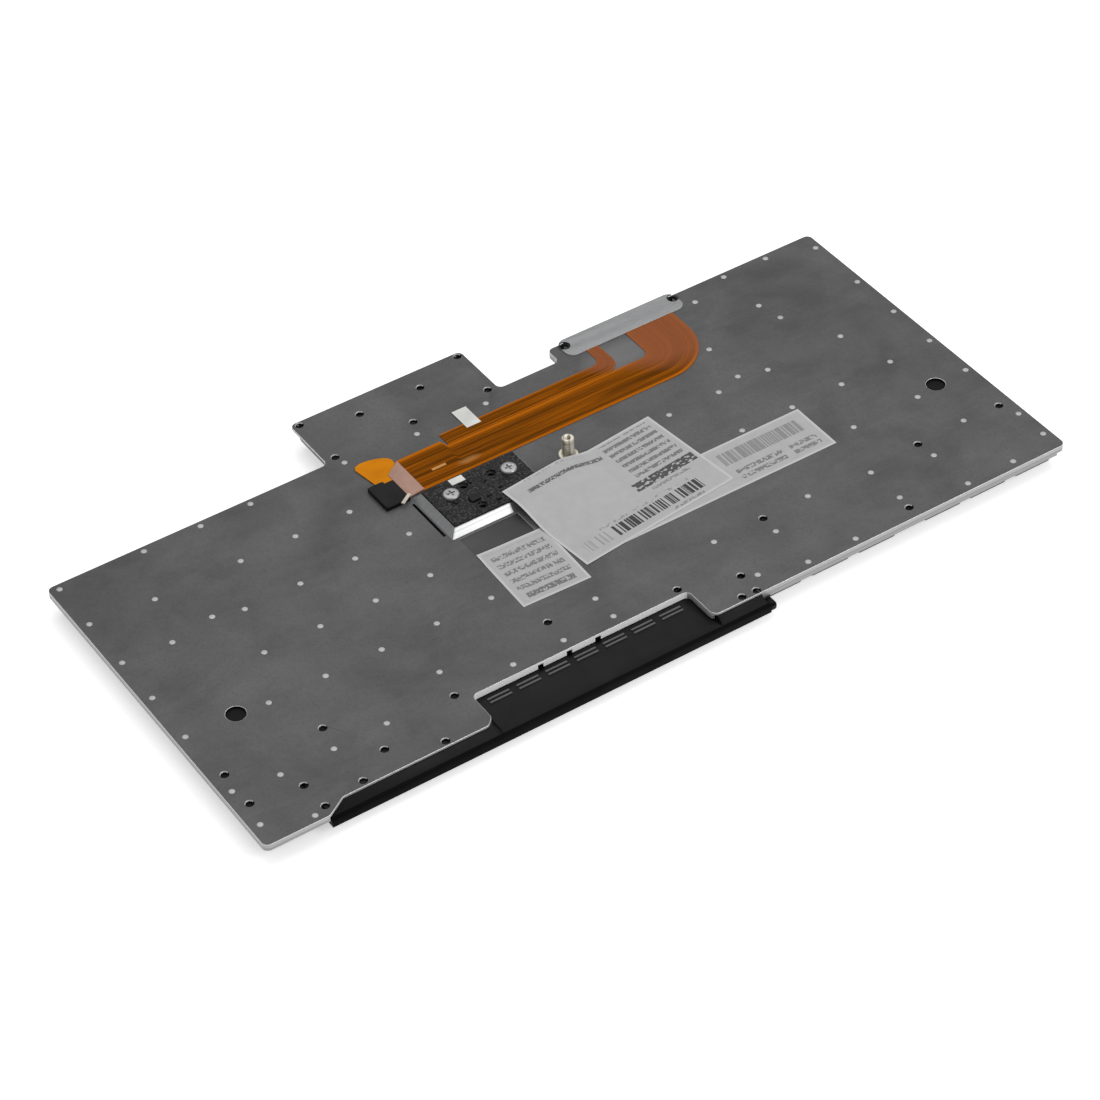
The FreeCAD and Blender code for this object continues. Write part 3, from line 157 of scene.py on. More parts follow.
class PlasticSettings(PropertyGroup):
    """Black mouldings, the connector and the key caps."""

    moulding: tint("Moulding", "Button bar and frames", 8, 8, 9)
    # Painted highlight on the tops of the ribs
    rib_highlight: tint("Rib painted highlight", "Tops of the ribs on the bar's back", 92, 92, 92)
    cap: tint("Key cap", "Key caps", 27, 27, 28)
    legend: tint("Legend", "Letters and numbers on the caps", 214, 214, 210)
    button: tint("Button", "Bar and stick buttons", 44, 44, 46)
    accent: tint("Accent", "Long assist button", 30, 84, 150)
    stick: tint("Stick cap", "Soft cap of the pointing stick", 176, 26, 24)
    board: tint("Board", "Solder mask of the stick board", 13, 13, 13)
    connector: size("Connector height", "How far the connector stands out", 1.6)
    round_over: size("Round over", "Rounding of moulded edges", 0.22)
    cap_round: size("Cap rounding", "Rounding of the key caps' edges", 0.45)
    dish: size("Dish", "Depth of the hollow in a key's top", 0.18)
    dome: tint("Dome", "Rubber domes under the keys", 196, 196, 186)


class RibbonSettings(PropertyGroup):
    """Ribbon cables, their stiffener and the pull tab."""

    amber: tint("Amber", "Film of the ribbon cables", 134, 72, 0)
    deep: tint("Deep amber", "Film over copper", 90, 48, 0)
    bright: tint("Bright amber", "Film with no copper behind it", 206, 112, 4)
    # Tan also paints the highlight where the wide ribbon rises
    tan: tint("Tan", "Small mark on the wide ribbon", 190, 140, 84)
    turned: tint("Turned amber", "Redder film in the turn", 140, 82, 52)
    tab: tint("Pull tab", "Orange pull tab", 204, 124, 8)
    stiffener: tint("Stiffener", "Film at the ribbon's end", 168, 134, 120)
    # Colour of the thin pale strip laid over the stiffener's near end
    fold: tint("Fold", "Pale strip at the stiffener's near end", 206, 196, 184)
    lift: size("Lift", "How far the ribbons wave above the plate", 0.12)


class PaperSettings(PropertyGroup):
    """Labels and tape."""

    paper: tint("Paper", "Label paper", 172, 172, 172)
    ink: tint("Ink", "Print on the labels", 52, 52, 54)
    tape: tint("Tape", "White tape", 214, 215, 210)
    curl: size("Curl", "How far a label's free corner lifts", 0.25)


class StageSettings(PropertyGroup):
    """Floor, light and camera."""

    floor: tint("Floor", "Pale floor", 240, 240, 240)
    glow: share("Floor glow", "How far the floor is lifted to white for the camera", 0.5)
    lens: FloatProperty(name="Lens", description="Focal length for a 36 mm sensor",
                        default=116.84, unit="CAMERA")
    key_power: power("Key light", "Strength of the softbox that the bright slope mirrors", 7.0)
    fill_power: power("Fill light", "Strength of the overhead softbox", 11.0)
    world: share("Room light", "Brightness of the room round the object", 0.55)


# Materials

class Finish:
    """A material that is being put together."""

    def __init__(self, name, colour, roughness=0.5, metallic=0.0, specular=0.2):
        self.material = bpy.data.materials.new(name)
        self.material.use_nodes = True
        self.tree = self.material.node_tree
        self.shader = self.tree.nodes["Principled BSDF"]
        self.shader.inputs["Base Color"].default_value = (*colour, 1)
        self.shader.inputs["Roughness"].default_value = roughness
        self.shader.inputs["Metallic"].default_value = metallic
        self.shader.inputs["Specular IOR Level"].default_value = specular
        self.place = self.add("ShaderNodeTexCoord").outputs["Object"]

    def add(self, kind, inputs=None, **settings):
        """Add a node, set its options, and set or link its inputs."""
        node = self.tree.nodes.new(kind)
        for field, value in settings.items():
            setattr(node, field, value)
        for key, value in (inputs or {}).items():
            if isinstance(value, bpy.types.NodeSocket):
                self.tree.links.new(value, node.inputs[key])
            else:
                node.inputs[key].default_value = value
        return node

    def math(self, operation, first, second=0.0):
        """Add a sum and give its result."""
        node = self.add("ShaderNodeMath", {0: first, 1: second}, operation=operation)
        return node.outputs[0]

    def times(self, first, second):
        """Multiply two values."""
        return self.math("MULTIPLY", first, second)

    def apart(self, first, second):
        """Tell how far two values are apart."""
        return self.math("ABSOLUTE", self.math("SUBTRACT", first, second))

    def within(self, *ranges):
        """Mask where every value lies between its two limits."""
        inside = 1.0
        for value, start, end in ranges:
            for operation, limit in (("GREATER_THAN", start), ("LESS_THAN", end)):
                inside = self.times(self.math(operation, value, limit), inside)
        return inside

    def split(self, place=None):
        """Give the X, Y and Z of a place."""
        return self.add("ShaderNodeSeparateXYZ", {"Vector": place or self.place}).outputs

    def stretched(self, scale, turn=0.0):
        """Give object coordinates, turned about Z and scaled along each axis."""
        inputs = {"Vector": self.place, "Rotation": (0, 0, turn), "Scale": scale}
        return self.add("ShaderNodeMapping", inputs).outputs[0]

    def noise(self, scale, detail=3.0, roughness=0.55, distortion=0.0, place=None):
        """Give a noise value."""
        inputs = {"Vector": place or self.place, "Scale": scale, "Detail": detail,
                  "Roughness": roughness, "Distortion": distortion}
        return self.add("ShaderNodeTexNoise", inputs).outputs["Fac"]

    def spread(self, value, low, high, to_low=0.0, to_high=1.0):
        """Stretch a value from one range to another and hold it there."""
        inputs = {"Value": value, "From Min": low, "From Max": high, "To Min": to_low,
                  "To Max": to_high}
        return self.add("ShaderNodeMapRange", inputs).outputs["Result"]

    def blend(self, amount, first, second):
        """Mix two colours, each a socket or three numbers."""
        node = self.add("ShaderNodeMix", {0: amount}, data_type="RGBA")
        for index, colour in ((6, first), (7, second)):
            if isinstance(colour, bpy.types.NodeSocket):
                self.tree.links.new(colour, node.inputs[index])
            else:
                node.inputs[index].default_value = (*colour, 1)
        return node.outputs[2]

    def colour(self, socket):
        """Use a socket as the colour."""
        self.tree.links.new(socket, self.shader.inputs["Base Color"])

    def gloss(self, value, low, high):
        """Let the roughness follow a value."""
        rough = self.spread(value, 0.3, 0.7, low, high)
        self.tree.links.new(rough, self.shader.inputs["Roughness"])

    def relief(self, height, distance, strength=0.5):
        """Add fine relief."""
        node = self.add("ShaderNodeBump", {"Height": height, "Distance": distance,
                                           "Strength": strength})
        self.tree.links.new(node.outputs[0], self.shader.inputs["Normal"])


def shaded(colour, factor):
    """Make a colour darker or lighter."""
    return tuple(min(1.0, channel * factor) for channel in colour)


def plate_coat(settings):
    """Grey coat with soft clouds, faint wiping streaks, a fine grain, a painted pool of light and
    painted shade.
    """
    finish = Finish("Mottled plate coat", settings.coat_light, 0.5, 0.2, 0.3)
    clouds = finish.noise(1 / settings.cloud, 5, 0.6, 0.35)
    streaks = finish.noise(30, 4, 0.6, 0.4, finish.stretched((1.0, 5.0, 1.0), 0.5))
    grain = finish.noise(1500, 2, 0.7)
    base = finish.blend(finish.spread(clouds, 0.32, 0.68), settings.coat_dark,
                        settings.coat_light)
    wiped = finish.blend(finish.spread(streaks, 0.5, 0.75, 0.0, 0.22), base,
                         shaded(settings.coat_light, 1.25))
    speckled = finish.blend(finish.spread(grain, 0.45, 0.8, 0.0, 0.4), wiped,
                            shaded(settings.coat_dark, 0.6))
    # Painted light: a pale oval pool of light on the coat near the clamp lifts it towards a
    # lighter copy of the coat
    pale = soft_spot(finish, plate_point(202, 120), 17 * MM, 9 * MM)
    lit = finish.blend(finish.times(pale, 0.5), speckled,
                       shaded(settings.coat_light, 1.75))
    # Painted shade: the stick recess is darkened more towards its right, and dark discs round the
    # clamp screws stand for the shade in their holes
    low, high = plate_point(111.5, 61), plate_point(132.5, 75.6)
    recess = inside_box(finish, low, high)
    depth = finish.spread(finish.split()["X"], low.x, high.x, 0.35, 0.75)
    shade = finish.times(recess, depth)
    for screw in CLAMP_SCREWS:
        shade = finish.math("MAXIMUM", shade, soft_spot(finish, screw, 3 * MM, 3 * MM, 0.6, 0.8))
    finish.colour(finish.blend(shade, lit, shaded(settings.coat_dark, 0.3)))
    finish.gloss(clouds, 0.42, 0.6)
    finish.relief(grain, 0.02 * MM, 0.35)
    return finish.material


def soft_spot(finish, middle, width, depth, core=0.35, end=1.0):
    """Mask a soft oval round a point."""
    inputs = {"Vector": finish.place, "Location": (-middle.x / width, -middle.y / depth, 0),
              "Scale": (1 / width, 1 / depth, 0)}
    moved = finish.add("ShaderNodeMapping", inputs).outputs[0]
    away = finish.add("ShaderNodeVectorMath", {0: moved}, operation="LENGTH").outputs["Value"]
    return finish.spread(away, core, end, 1.0, 0.0)


def inside_box(finish, low, high):
    """Mask an upright box that reaches without end along Z."""
    split = finish.split()
    return finish.within((split["X"], low.x, high.x), (split["Y"], low.y, high.y))


def bare_metal(name, colour, roughness=0.32, metallic=0.75, brushed=None):
    """Bright metal with a faint grain, brushed along one direction if asked."""
    finish = Finish(name, colour, roughness, metallic, 0.5)
    place = finish.stretched(brushed) if brushed else finish.place
    grain = finish.noise(260, 4, 0.6, 0.2, place)
    finish.colour(finish.blend(finish.spread(grain, 0.3, 0.7), shaded(colour, 0.78), colour))
    finish.gloss(grain, roughness * 0.85, roughness * 1.35)
    finish.relief(grain, 0.03 * MM, 0.25)
    return finish.material


def moulded(name, colour, roughness=0.42, grain_size=0.35, specular=0.2):
    """Moulded plastic with a fine spark texture and slight wear."""
    finish = Finish(name, colour, roughness, 0.0, specular)
    grain = finish.noise(1 / (grain_size * MM), 2, 0.6)
    rubs = finish.noise(70, 4, 0.65, 0.6)
    worn = finish.blend(finish.spread(rubs, 0.52, 0.8, 0.0, 0.4), colour, shaded(colour, 1.8))
    finish.colour(worn)
    finish.gloss(rubs, roughness * 0.8, roughness * 1.25)
    finish.relief(grain, 0.03 * MM, 0.4)
    return finish.material


def dull_film(name, colour, roughness=0.35, specular=0.2):
    """Plain film with slow changes of colour."""
    finish = Finish(name, colour, roughness, 0.0, specular)
    clouds = finish.noise(120, 3, 0.5, 0.3)
    finish.colour(finish.blend(finish.spread(clouds, 0.3, 0.7), shaded(colour, 0.82),
                               shaded(colour, 1.12)))
    finish.relief(clouds, 0.15 * MM, 0.3)
    return finish.material


def soft_rubber(name, colour):
    """Matte rubber with a pebbled skin."""
    finish = Finish(name, colour, 0.75, 0.0, 0.3)
    pebbles = finish.add("ShaderNodeTexVoronoi", {"Vector": finish.place, "Scale": 1800.0})
    finish.colour(finish.blend(pebbles.outputs["Distance"], colour, shaded(colour, 0.7)))
    finish.relief(pebbles.outputs["Distance"], 0.08 * MM, 0.6)
    return finish.material


def circuit_board(name, colour):
    """Black solder mask over raised tracks."""
    finish = Finish(name, colour, 0.34, 0.0, 0.15)
    tracks = finish.add("ShaderNodeTexBrick", {
        "Vector": finish.place, "Scale": 420.0, "Mortar Size": 0.04, "Mortar Smooth": 0.3,
        "Color1": (0, 0, 0, 1), "Color2": (0, 0, 0, 1), "Mortar": (1, 1, 1, 1),
    }).outputs["Fac"]
    patches = finish.noise(300, 4, 0.7, 1.2)
    specks = finish.noise(1900, 2, 0.7)
    mask = finish.blend(finish.spread(patches, 0.4, 0.72), shaded(colour, 0.8),
                        shaded(colour, 2.0))
    traced = finish.blend(finish.times(tracks, 0.5), mask, shaded(colour, 2.4))
    finish.colour(finish.blend(finish.spread(specks, 0.5, 0.7, 0.0, 0.8), traced,
                               paint(88, 88, 88)))
    finish.gloss(patches, 0.28, 0.5)
    finish.relief(tracks, 0.04 * MM, 0.5)
    return finish.material


def ribbon_film(name, settings):
    """Amber film with copper tracks that follow the ribbon's own length, and a painted highlight
    where the wide ribbon rises.
    """
    finish = Finish(name, settings.amber, 0.5, 0.0, 0.02)
    chart = finish.add("ShaderNodeUVMap", uv_map="Ribbon").outputs[0]
    across, along, _ = finish.split(chart)
    slow = finish.times(along, 0.12)
    lane = finish.add("ShaderNodeCombineXYZ", {"X": across, "Y": slow})
    broad = finish.noise(6.0, 2, 0.5, 0.0, lane.outputs[0])
    fine = finish.noise(26.0, 2, 0.6, 0.0, lane.outputs[0])
    tracks = finish.math("FRACT", finish.times(across, 22.0))
    copper = finish.spread(finish.apart(tracks, 0.5), 0.18, 0.3)
    banded = finish.blend(finish.spread(broad, 0.42, 0.6), settings.deep, settings.amber)
    striped = finish.blend(finish.spread(fine, 0.5, 0.72, 0.0, 0.55), banded, settings.bright)
    tracked = finish.blend(finish.times(copper, 0.22), striped, shaded(settings.deep, 0.7))
    edge = finish.spread(finish.apart(across, 0.5), 0.4, 0.47, 0.0, 0.6)
    rimmed = finish.blend(edge, tracked, settings.bright)
    turn = finish.spread(along, 0.76, 0.86)
    turned = finish.blend(finish.times(turn, 0.85), rimmed, settings.turned)
    mark = inside_box(finish, plate_point(122, 106.6), plate_point(127, 107.6))
    # A soft tan streak paints the highlight where the wide ribbon rises
    bend_highlight = soft_spot(finish, plate_point(134, 104.6), 5 * MM, 1.6 * MM)
    mark_and_highlight = finish.math("MAXIMUM", mark, finish.times(bend_highlight, 0.4))
    finish.colour(finish.blend(mark_and_highlight, turned, settings.tan))
    finish.relief(copper, 0.03 * MM, 0.4)
    return finish.material


def printed_paper(name, settings, width, height, blocks):
    """Label paper with rows of dashes and fields of bars in place of its print, lighter along its
    edges as painted highlight.
    """
    finish = Finish(name, settings.paper, 0.55, 0.0, 0.2)
    chart = finish.add("ShaderNodeUVMap", uv_map="Label").outputs[0]
    split = finish.split(chart)
    across = finish.times(split["X"], width / MM)
    along = finish.times(split["Y"], height / MM)
    ink = None
    for number, row in enumerate(blocks):
        block = dict(zip(PRINT, row))
        strength = block.pop("strength") * (LETTER_STRENGTH if "pitch" in block else 1)
        mark = finish.times(print_block(finish, across, along, number, **block), strength)
        ink = mark if ink is None else finish.math("MAXIMUM", ink, mark)
    fibres = finish.noise(240, 4, 0.6)
    sheet = finish.blend(finish.spread(fibres, 0.3, 0.7), shaded(settings.paper, 0.95),
                         shaded(settings.paper, 1.04))
    # Within about a millimetre of the edges the paper is painted lighter: painted highlight
    inset = finish.math("MINIMUM", across, finish.math("SUBTRACT", width / MM, across))
    inset = finish.math("MINIMUM", inset, along)
    inset = finish.math("MINIMUM", inset, finish.math("SUBTRACT", height / MM, along))
    rimmed = finish.blend(finish.spread(inset, 0.3, 1.1, 1.0, 0.0), sheet,
                          shaded(settings.paper, 1.28))
    finish.colour(finish.blend(ink, rimmed, settings.ink))
    finish.relief(fibres, 0.05 * MM, 0.25)
    return finish.material


def print_block(finish, across, along, seed, left, right, low, high, dashes, gaps,
                pitch=0.0, fill=0.9):
    """Mask one block of print: rows of letter-like marks, or upright bars without a pitch."""
    inside = finish.within((across, left, right), (along, low, high))
    row = 0.0
    if pitch:
        rows = finish.math("DIVIDE", finish.math("SUBTRACT", along, low), pitch)
        row = finish.math("FLOOR", rows)
        inside = finish.times(inside, finish.math("LESS_THAN", finish.math("FRACT", rows), fill))
    level = finish.math("ADD", finish.times(row, 7.3),
                        finish.times(along, 1.1 if pitch else 0.0))
    run = finish.add("ShaderNodeCombineXYZ", {
        "X": finish.times(across, dashes), "Y": level, "Z": 11.7 * seed + 3.1,
    }).outputs[0]
    marks = finish.math("GREATER_THAN", finish.noise(1.0, 1, 0.5, 0.0, run), gaps)
    return finish.times(inside, marks)


# Mesh tools

def cad_copy(node):
    """Take a copy of a CAD node's mesh with its triangles joined into flat faces."""
    mesh = bmesh.new()
    mesh.from_mesh(frame["nodes"][node].data)
    bmesh.ops.remove_doubles(mesh, verts=mesh.verts, dist=0.002 * MM)
    bmesh.ops.dissolve_limit(mesh, angle_limit=math.radians(0.5), verts=mesh.verts,
                             edges=mesh.edges)
    mesh.normal_update()
    return mesh


def sharp_edges(mesh, least=50, wanted=None):
    """Pick the edges that stand out from the surface by more than an angle."""
    picked = []
    for edge in mesh.edges:
        if len(edge.link_faces) != 2 or not edge.is_convex:
            continue
        if math.degrees(edge.calc_face_angle(0.0)) < least:
            continue
        if wanted is None or wanted(edge):
            picked.append(edge)
    return picked


def round_over(mesh, edges, radius, segments=2):
    """Round some edges and give the new faces."""
    result = bmesh.ops.bevel(mesh, geom=edges, offset=radius, offset_type="OFFSET",
                             affect="EDGES", segments=segments, profile=0.5, material=-1,
                             clamp_overlap=True)
    return result["faces"]


def rounded_copy(node, least, radius, segments=2, wanted=None):
    """Take a copy of a CAD node with its sharp edges rounded."""
    mesh = cad_copy(node)
    round_over(mesh, sharp_edges(mesh, least, wanted), radius, segments)
    return mesh


def islands(mesh):
    """Give the separate solids of a mesh as lists of vertices."""
    waiting = set(mesh.verts)
    found = []
    while waiting:
        start = waiting.pop()
        group, edge_of_group = [start], [start]
        while edge_of_group:
            vertex = edge_of_group.pop()
            for edge in vertex.link_edges:
                other = edge.other_vert(vertex)
                if other in waiting:
                    waiting.remove(other)
                    group.append(other)
                    edge_of_group.append(other)
        found.append(group)
    return found


def solid_boxes(node):
    """Give the lowest and highest corner of each separate solid of a CAD node."""
    mesh = bmesh.new()
    mesh.from_mesh(frame["nodes"][node].data)
    bmesh.ops.remove_doubles(mesh, verts=mesh.verts, dist=0.002 * MM)
    boxes = []
    for group in islands(mesh):
        low = Vector(min(v.co[axis] for v in group) for axis in range(3))
        high = Vector(max(v.co[axis] for v in group) for axis in range(3))
        boxes.append((low, high))
    mesh.free()
    return sorted(boxes, key=lambda box: (round(box[0].x, 5), round(box[0].y, 5)))


def lathe(profile, steps, foot=(0, 0, 0)):
    """Turn a profile of radius and height, in millimetres, about an upright axis."""
    mesh = bmesh.new()
    line = [mesh.verts.new((radius * MM, 0, height * MM)) for radius, height in profile]
    edges = [mesh.edges.new(pair) for pair in zip(line, line[1:])]
    bmesh.ops.spin(mesh, geom=line + edges, cent=(0, 0, 0), axis=(0, 0, 1),
                   angle=2 * math.pi, steps=steps, use_merge=True, use_normal_flip=False)
    bmesh.ops.remove_doubles(mesh, verts=mesh.verts, dist=0.001 * MM)
    bmesh.ops.recalc_face_normals(mesh, faces=mesh.faces)
    bmesh.ops.translate(mesh, vec=Vector(foot), verts=mesh.verts)
    return mesh


def middle_of(low, high):
    """Give the middle between two corners, seen from above."""
    return (low.x + high.x) / 2, (low.y + high.y) / 2


def add_copy(mesh, part):
    """Put one mesh into another and let go of it."""
    data = bpy.data.meshes.new("part")
    part.to_mesh(data)
    part.free()
    mesh.from_mesh(data)
    bpy.data.meshes.remove(data)


def add_block(mesh, low, high, radius=0.0, segments=2):
    """Add a block between two corners, with rounded edges if asked."""
    low, high = Vector(low), Vector(high)
    verts = bmesh.ops.create_cube(mesh, size=1.0)["verts"]
    bmesh.ops.scale(mesh, vec=high - low, verts=verts)
    bmesh.ops.translate(mesh, vec=(low + high) / 2, verts=verts)
    if radius:
        edges = list({edge for vertex in verts for edge in vertex.link_edges})
        round_over(mesh, edges, radius, segments)


def new_object(name, data):
    """Put new data into the scene."""
    item = bpy.data.objects.new(name, data)
    bpy.context.scene.collection.objects.link(item)
    return item


def settle(mesh, name, body, materials, replaced=(), smooth=32):
    """Turn a mesh into a finished piece that rides on a body."""
    data = bpy.data.meshes.new(name)
    mesh.to_mesh(data)
    mesh.free()
    for material in materials:
        data.materials.append(material)
    piece = new_object(name, data)
    data.shade_smooth()
    data.set_sharp_from_angle(angle=math.radians(smooth))
    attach(piece, body)
    if replaced:
        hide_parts(*replaced)
    return piece


def moving(*starts):
    """Give each moving body and its first node, where the node's name starts like this."""
    for body, nodes in frame["record"]["behaviour"]["bodies"].items():
        if body != CHASSIS and nodes[0].startswith(starts):
            yield body, nodes[0]


def dress(node, material):
    """Give a CAD node that stays in view a material of its own."""
    data = frame["nodes"][node].data
    data.materials.clear()
    data.materials.append(material)


# Plate and metal parts

def make_plate(settings):
    """Folded plate with rounded outer edges, painted near-white as highlight."""
    mesh = cad_copy("base_plate")

    quiet_low, quiet_high = plate_point(108, 60.5), plate_point(133, 98)

    def on_underside(edge):
        point = (edge.verts[0].co + edge.verts[1].co) / 2
        quiet = quiet_low.x < point.x < quiet_high.x and quiet_low.y < point.y < quiet_high.y
        return not quiet and min(vertex.co.z for vertex in edge.verts) > UNDERSIDE - 0.01 * MM

    edges = sharp_edges(mesh, 70, on_underside)
    # The rounded bends take the near-white finish: painted highlight
    for face in round_over(mesh, edges, settings.bend, 3):
        face.material_index = EDGE_HIGHLIGHT
    rim_side_index(mesh)
    deepen_rear_rim(mesh, settings.rear_lip)
    # After the coat: painted edge highlight, painted rim light and shade, painted hole shade,
    # painted flange highlight
    materials = [plate_coat(settings),
                 bare_metal("Edge painted highlight", settings.edge, 0.34, 0.55),
                 rim_steel(settings.edge),
                 moulded("Hole painted shade", paint(3, 3, 3), 0.8),
                 moulded("Flange painted highlight", paint(252, 252, 252), 0.5)]
    settle(mesh, "plate_body", CHASSIS, materials, ["base_plate"])


def rim_steel(colour):
    """Rim in lit steel tones: a lighter upper half of painted highlight over a thin dark line of
    painted shade.
    """
    finish = Finish("Plate rim", colour, 0.45, 0.3, 0.5)
    grain = finish.noise(260, 4, 0.6, 0.2)
    level = finish.split()["Z"]
    # Height of the thin dark line of painted shade; above it the rim is painted lighter as
    # highlight
    fold = UNDERSIDE - 1.55 * MM
    upper = finish.math("GREATER_THAN", level, fold)
    line = finish.spread(finish.apart(level, fold), 0.1 * MM, 0.35 * MM, 1.0, 0.0)
    halves = finish.blend(upper, shaded(colour, 0.41), shaded(colour, 0.53))
    rim_light_and_shade = finish.blend(line, halves, shaded(colour, 0.33))
    finish.colour(finish.blend(finish.spread(grain, 0.3, 0.7, 0.0, 0.25), rim_light_and_shade,
                               shaded(colour, 0.36)))
    finish.relief(grain, 0.03 * MM, 0.25)
    return finish.material


def deepen_rear_rim(mesh, depth):
    """Let the rim right of the button bar reach a little further down."""
    foot = min(vertex.co.z for vertex in mesh.verts)
    rim_thickness, corner_radius = 0.8 * MM, 3.2 * MM
    start, end = plate_point(174.5, 0).x, PLATE_HIGH.x - corner_radius
    rear = min(vertex.co.y for vertex in mesh.verts if vertex.co.x > start)
    known = set(mesh.faces)
    add_block(mesh, (start, rear, foot - depth), (end, rear + rim_thickness, foot))
    for face in set(mesh.faces) - known:
        face.material_index = RIM


def rim_side_index(mesh):
    """Give the rim, the notch flange, the hole walls and their sinks finishes of their own, which
    paint their light and shade.
    """
    upright = {f for f in mesh.faces if f.material_index == COAT and abs(f.normal.z) < 0.2}
    flange = PLATE_LOW.y + 17.1 * MM
    while upright:
        group = [upright.pop()]
        for face in group:
            for edge in face.edges:
                near = [f for f in edge.link_faces if f in upright]
                upright.difference_update(near)
                group.extend(near)
        points = [vertex.co for face in group for vertex in face.verts]
        span = max(point.x for point in points) - min(point.x for point in points)
        # Small upright groups are hole walls, painted black as shade; the notch flange is painted
        # near-white as highlight
        for face in group:
            at_flange = abs(face.calc_center_median().y - flange) < 0.5 * MM
            larger = FLANGE_HIGHLIGHT if at_flange else RIM
            face.material_index = HOLE_SHADE if span < 11 * MM else larger
    # Round the clamp screws the walls are painted black as shade; sinks facing -Y take the rim's
    # lit tones as painted highlight, the others black as painted shade
    for face in mesh.faces:
        away = from_clamp_screw(face)
        if face.normal.z < 0.95 and away < 2.4 * MM:
            face.material_index = HOLE_SHADE
        elif face.material_index == COAT and 0.5 < face.normal.z < 0.9:
            face.material_index = RIM if face.normal.y < -0.1 else HOLE_SHADE


def from_clamp_screw(face):
    """Tell how far a face is from the nearer clamp screw, seen from above."""
    middle = face.calc_center_median()
    return min((middle - screw).to_2d().length for screw in CLAMP_SCREWS)


def make_rivets(settings):
    """Flat rivet heads with a soft edge."""
    mesh = bmesh.new()
    material = bare_metal("Rivet metal", settings.rivet, 0.4, 0.35)
    for low, high in solid_boxes("plate_rivets"):
        radius = (high.x - low.x) / 2 / MM
        height = (high.z - low.z) / MM
        profile = [(0, height), (0.55 * radius, 0.96 * height), (0.85 * radius, 0.72 * height),
                   (radius, 0.2 * height), (radius, 0), (0, 0)]
        add_copy(mesh, lathe(profile, settings.rivet_steps, (*middle_of(low, high), low.z)))
    settle(mesh, "rivet_heads", CHASSIS, [material], ["plate_rivets"])


def make_bracket(settings):
    """Pressed bracket with soft bends; faces that look to -Y and up are painted near-white as
    highlight.
    """
    mesh = cad_copy("stick_bracket")

    def outside(edge):
        return max(vertex.co.z for vertex in edge.verts) > UNDERSIDE + 0.05 * MM

    edges = [e for e in sharp_edges(mesh, 30, outside) if e.calc_length() > 2 * MM]
    round_over(mesh, edges, 0.3 * MM, 3)
    mesh.normal_update()
    # Faces that look to -Y and up take the near-white finish: painted highlight
    for face in mesh.faces:
        if face.normal.y < -0.3 and face.normal.z > 0.2:
            face.material_index = 1
    materials = [bare_metal("Pressed steel", settings.clamp, 0.34, 0.7, (1.0, 6.0, 1.0)),
                 painted_slope_highlight(paint(240, 240, 240))]
    settle(mesh, "bracket_body", CHASSIS, materials, ["stick_bracket"])


def painted_slope_highlight(colour):
    """Near-white steel as painted highlight, with one faint grey line along the slope and painted
    shade at its right end.
    """
    finish = Finish("Slope painted highlight", colour, 0.35, 0.2, 0.4)
    split = finish.split()
    height = finish.spread(split["Z"], UNDERSIDE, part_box("stick_bracket")[1][2])
    grey_line = finish.spread(finish.apart(height, 0.62), 0.03, 0.12, 0.45, 0.0)
    # Past x 131.4 mm, by the large label over the bracket, the slope turns dark: painted shade
    end = plate_point(131.4, 0).x
    past = finish.spread(split["X"], end, end + 0.4 * MM)
    grey_lined = finish.blend(grey_line, colour, shaded(colour, 0.55))
    finish.colour(finish.blend(past, grey_lined, shaded(colour, 0.16)))
    return finish.material


def make_screws(settings):
    """Two pan screws with rounded heads."""
    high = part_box("stick_screws")[1][2]
    centres = [middle_of(*corners) for corners in solid_boxes("stick_screws")]

    def at_rim(edge):
        point = (edge.verts[0].co + edge.verts[1].co) / 2
        away = min(math.dist(point.to_2d(), centre) for centre in centres)
        return point.z > high - 0.05 * MM and away > 2.2 * MM

    mesh = rounded_copy("stick_screws", 60, 0.55 * MM, 4, at_rim)
    steel = bare_metal("Screw steel", shaded(settings.bright, 0.62), 0.3, 0.8)
    settle(mesh, "pan_screws", CHASSIS, [steel], ["stick_screws"])


def make_post(settings):
    """Turned brass post with a flange and a thread that shows at its mouth."""
    low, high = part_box("mounting_post")
    foot = ((low[0] + high[0]) / 2, (low[1] + high[1]) / 2, low[2])
    top = (high[2] - low[2]) / MM
    profile = [(0, 0), (3.1, 0), (3.1, 0.36), (2.95, 0.5), (2.2, 0.52), (2.0, 0.7)]
    rings = 6
    for ring in range(rings):
        base = 1.3 + ring * (top - 2.6) / rings
        profile += [(2.0, base), (1.9, base + 0.12), (1.9, base + 0.3), (2.0, base + 0.42)]
    profile += [(2.0, top - 0.3), (1.8, top), (1.0, top), (0.85, top - 0.15)]
    turns = 8
    for turn in range(turns):
        level = top - 0.3 - turn * 0.4
        profile += [(0.85, level), (1.0, level - 0.2)]
    profile += [(0.85, top - 3.6), (0.85, top - 5.0), (0, top - 5.0)]
    settle(lathe(profile, 32, foot), "brass_post", CHASSIS,
           [turned_brass(settings, foot)], ["mounting_post"], 40)


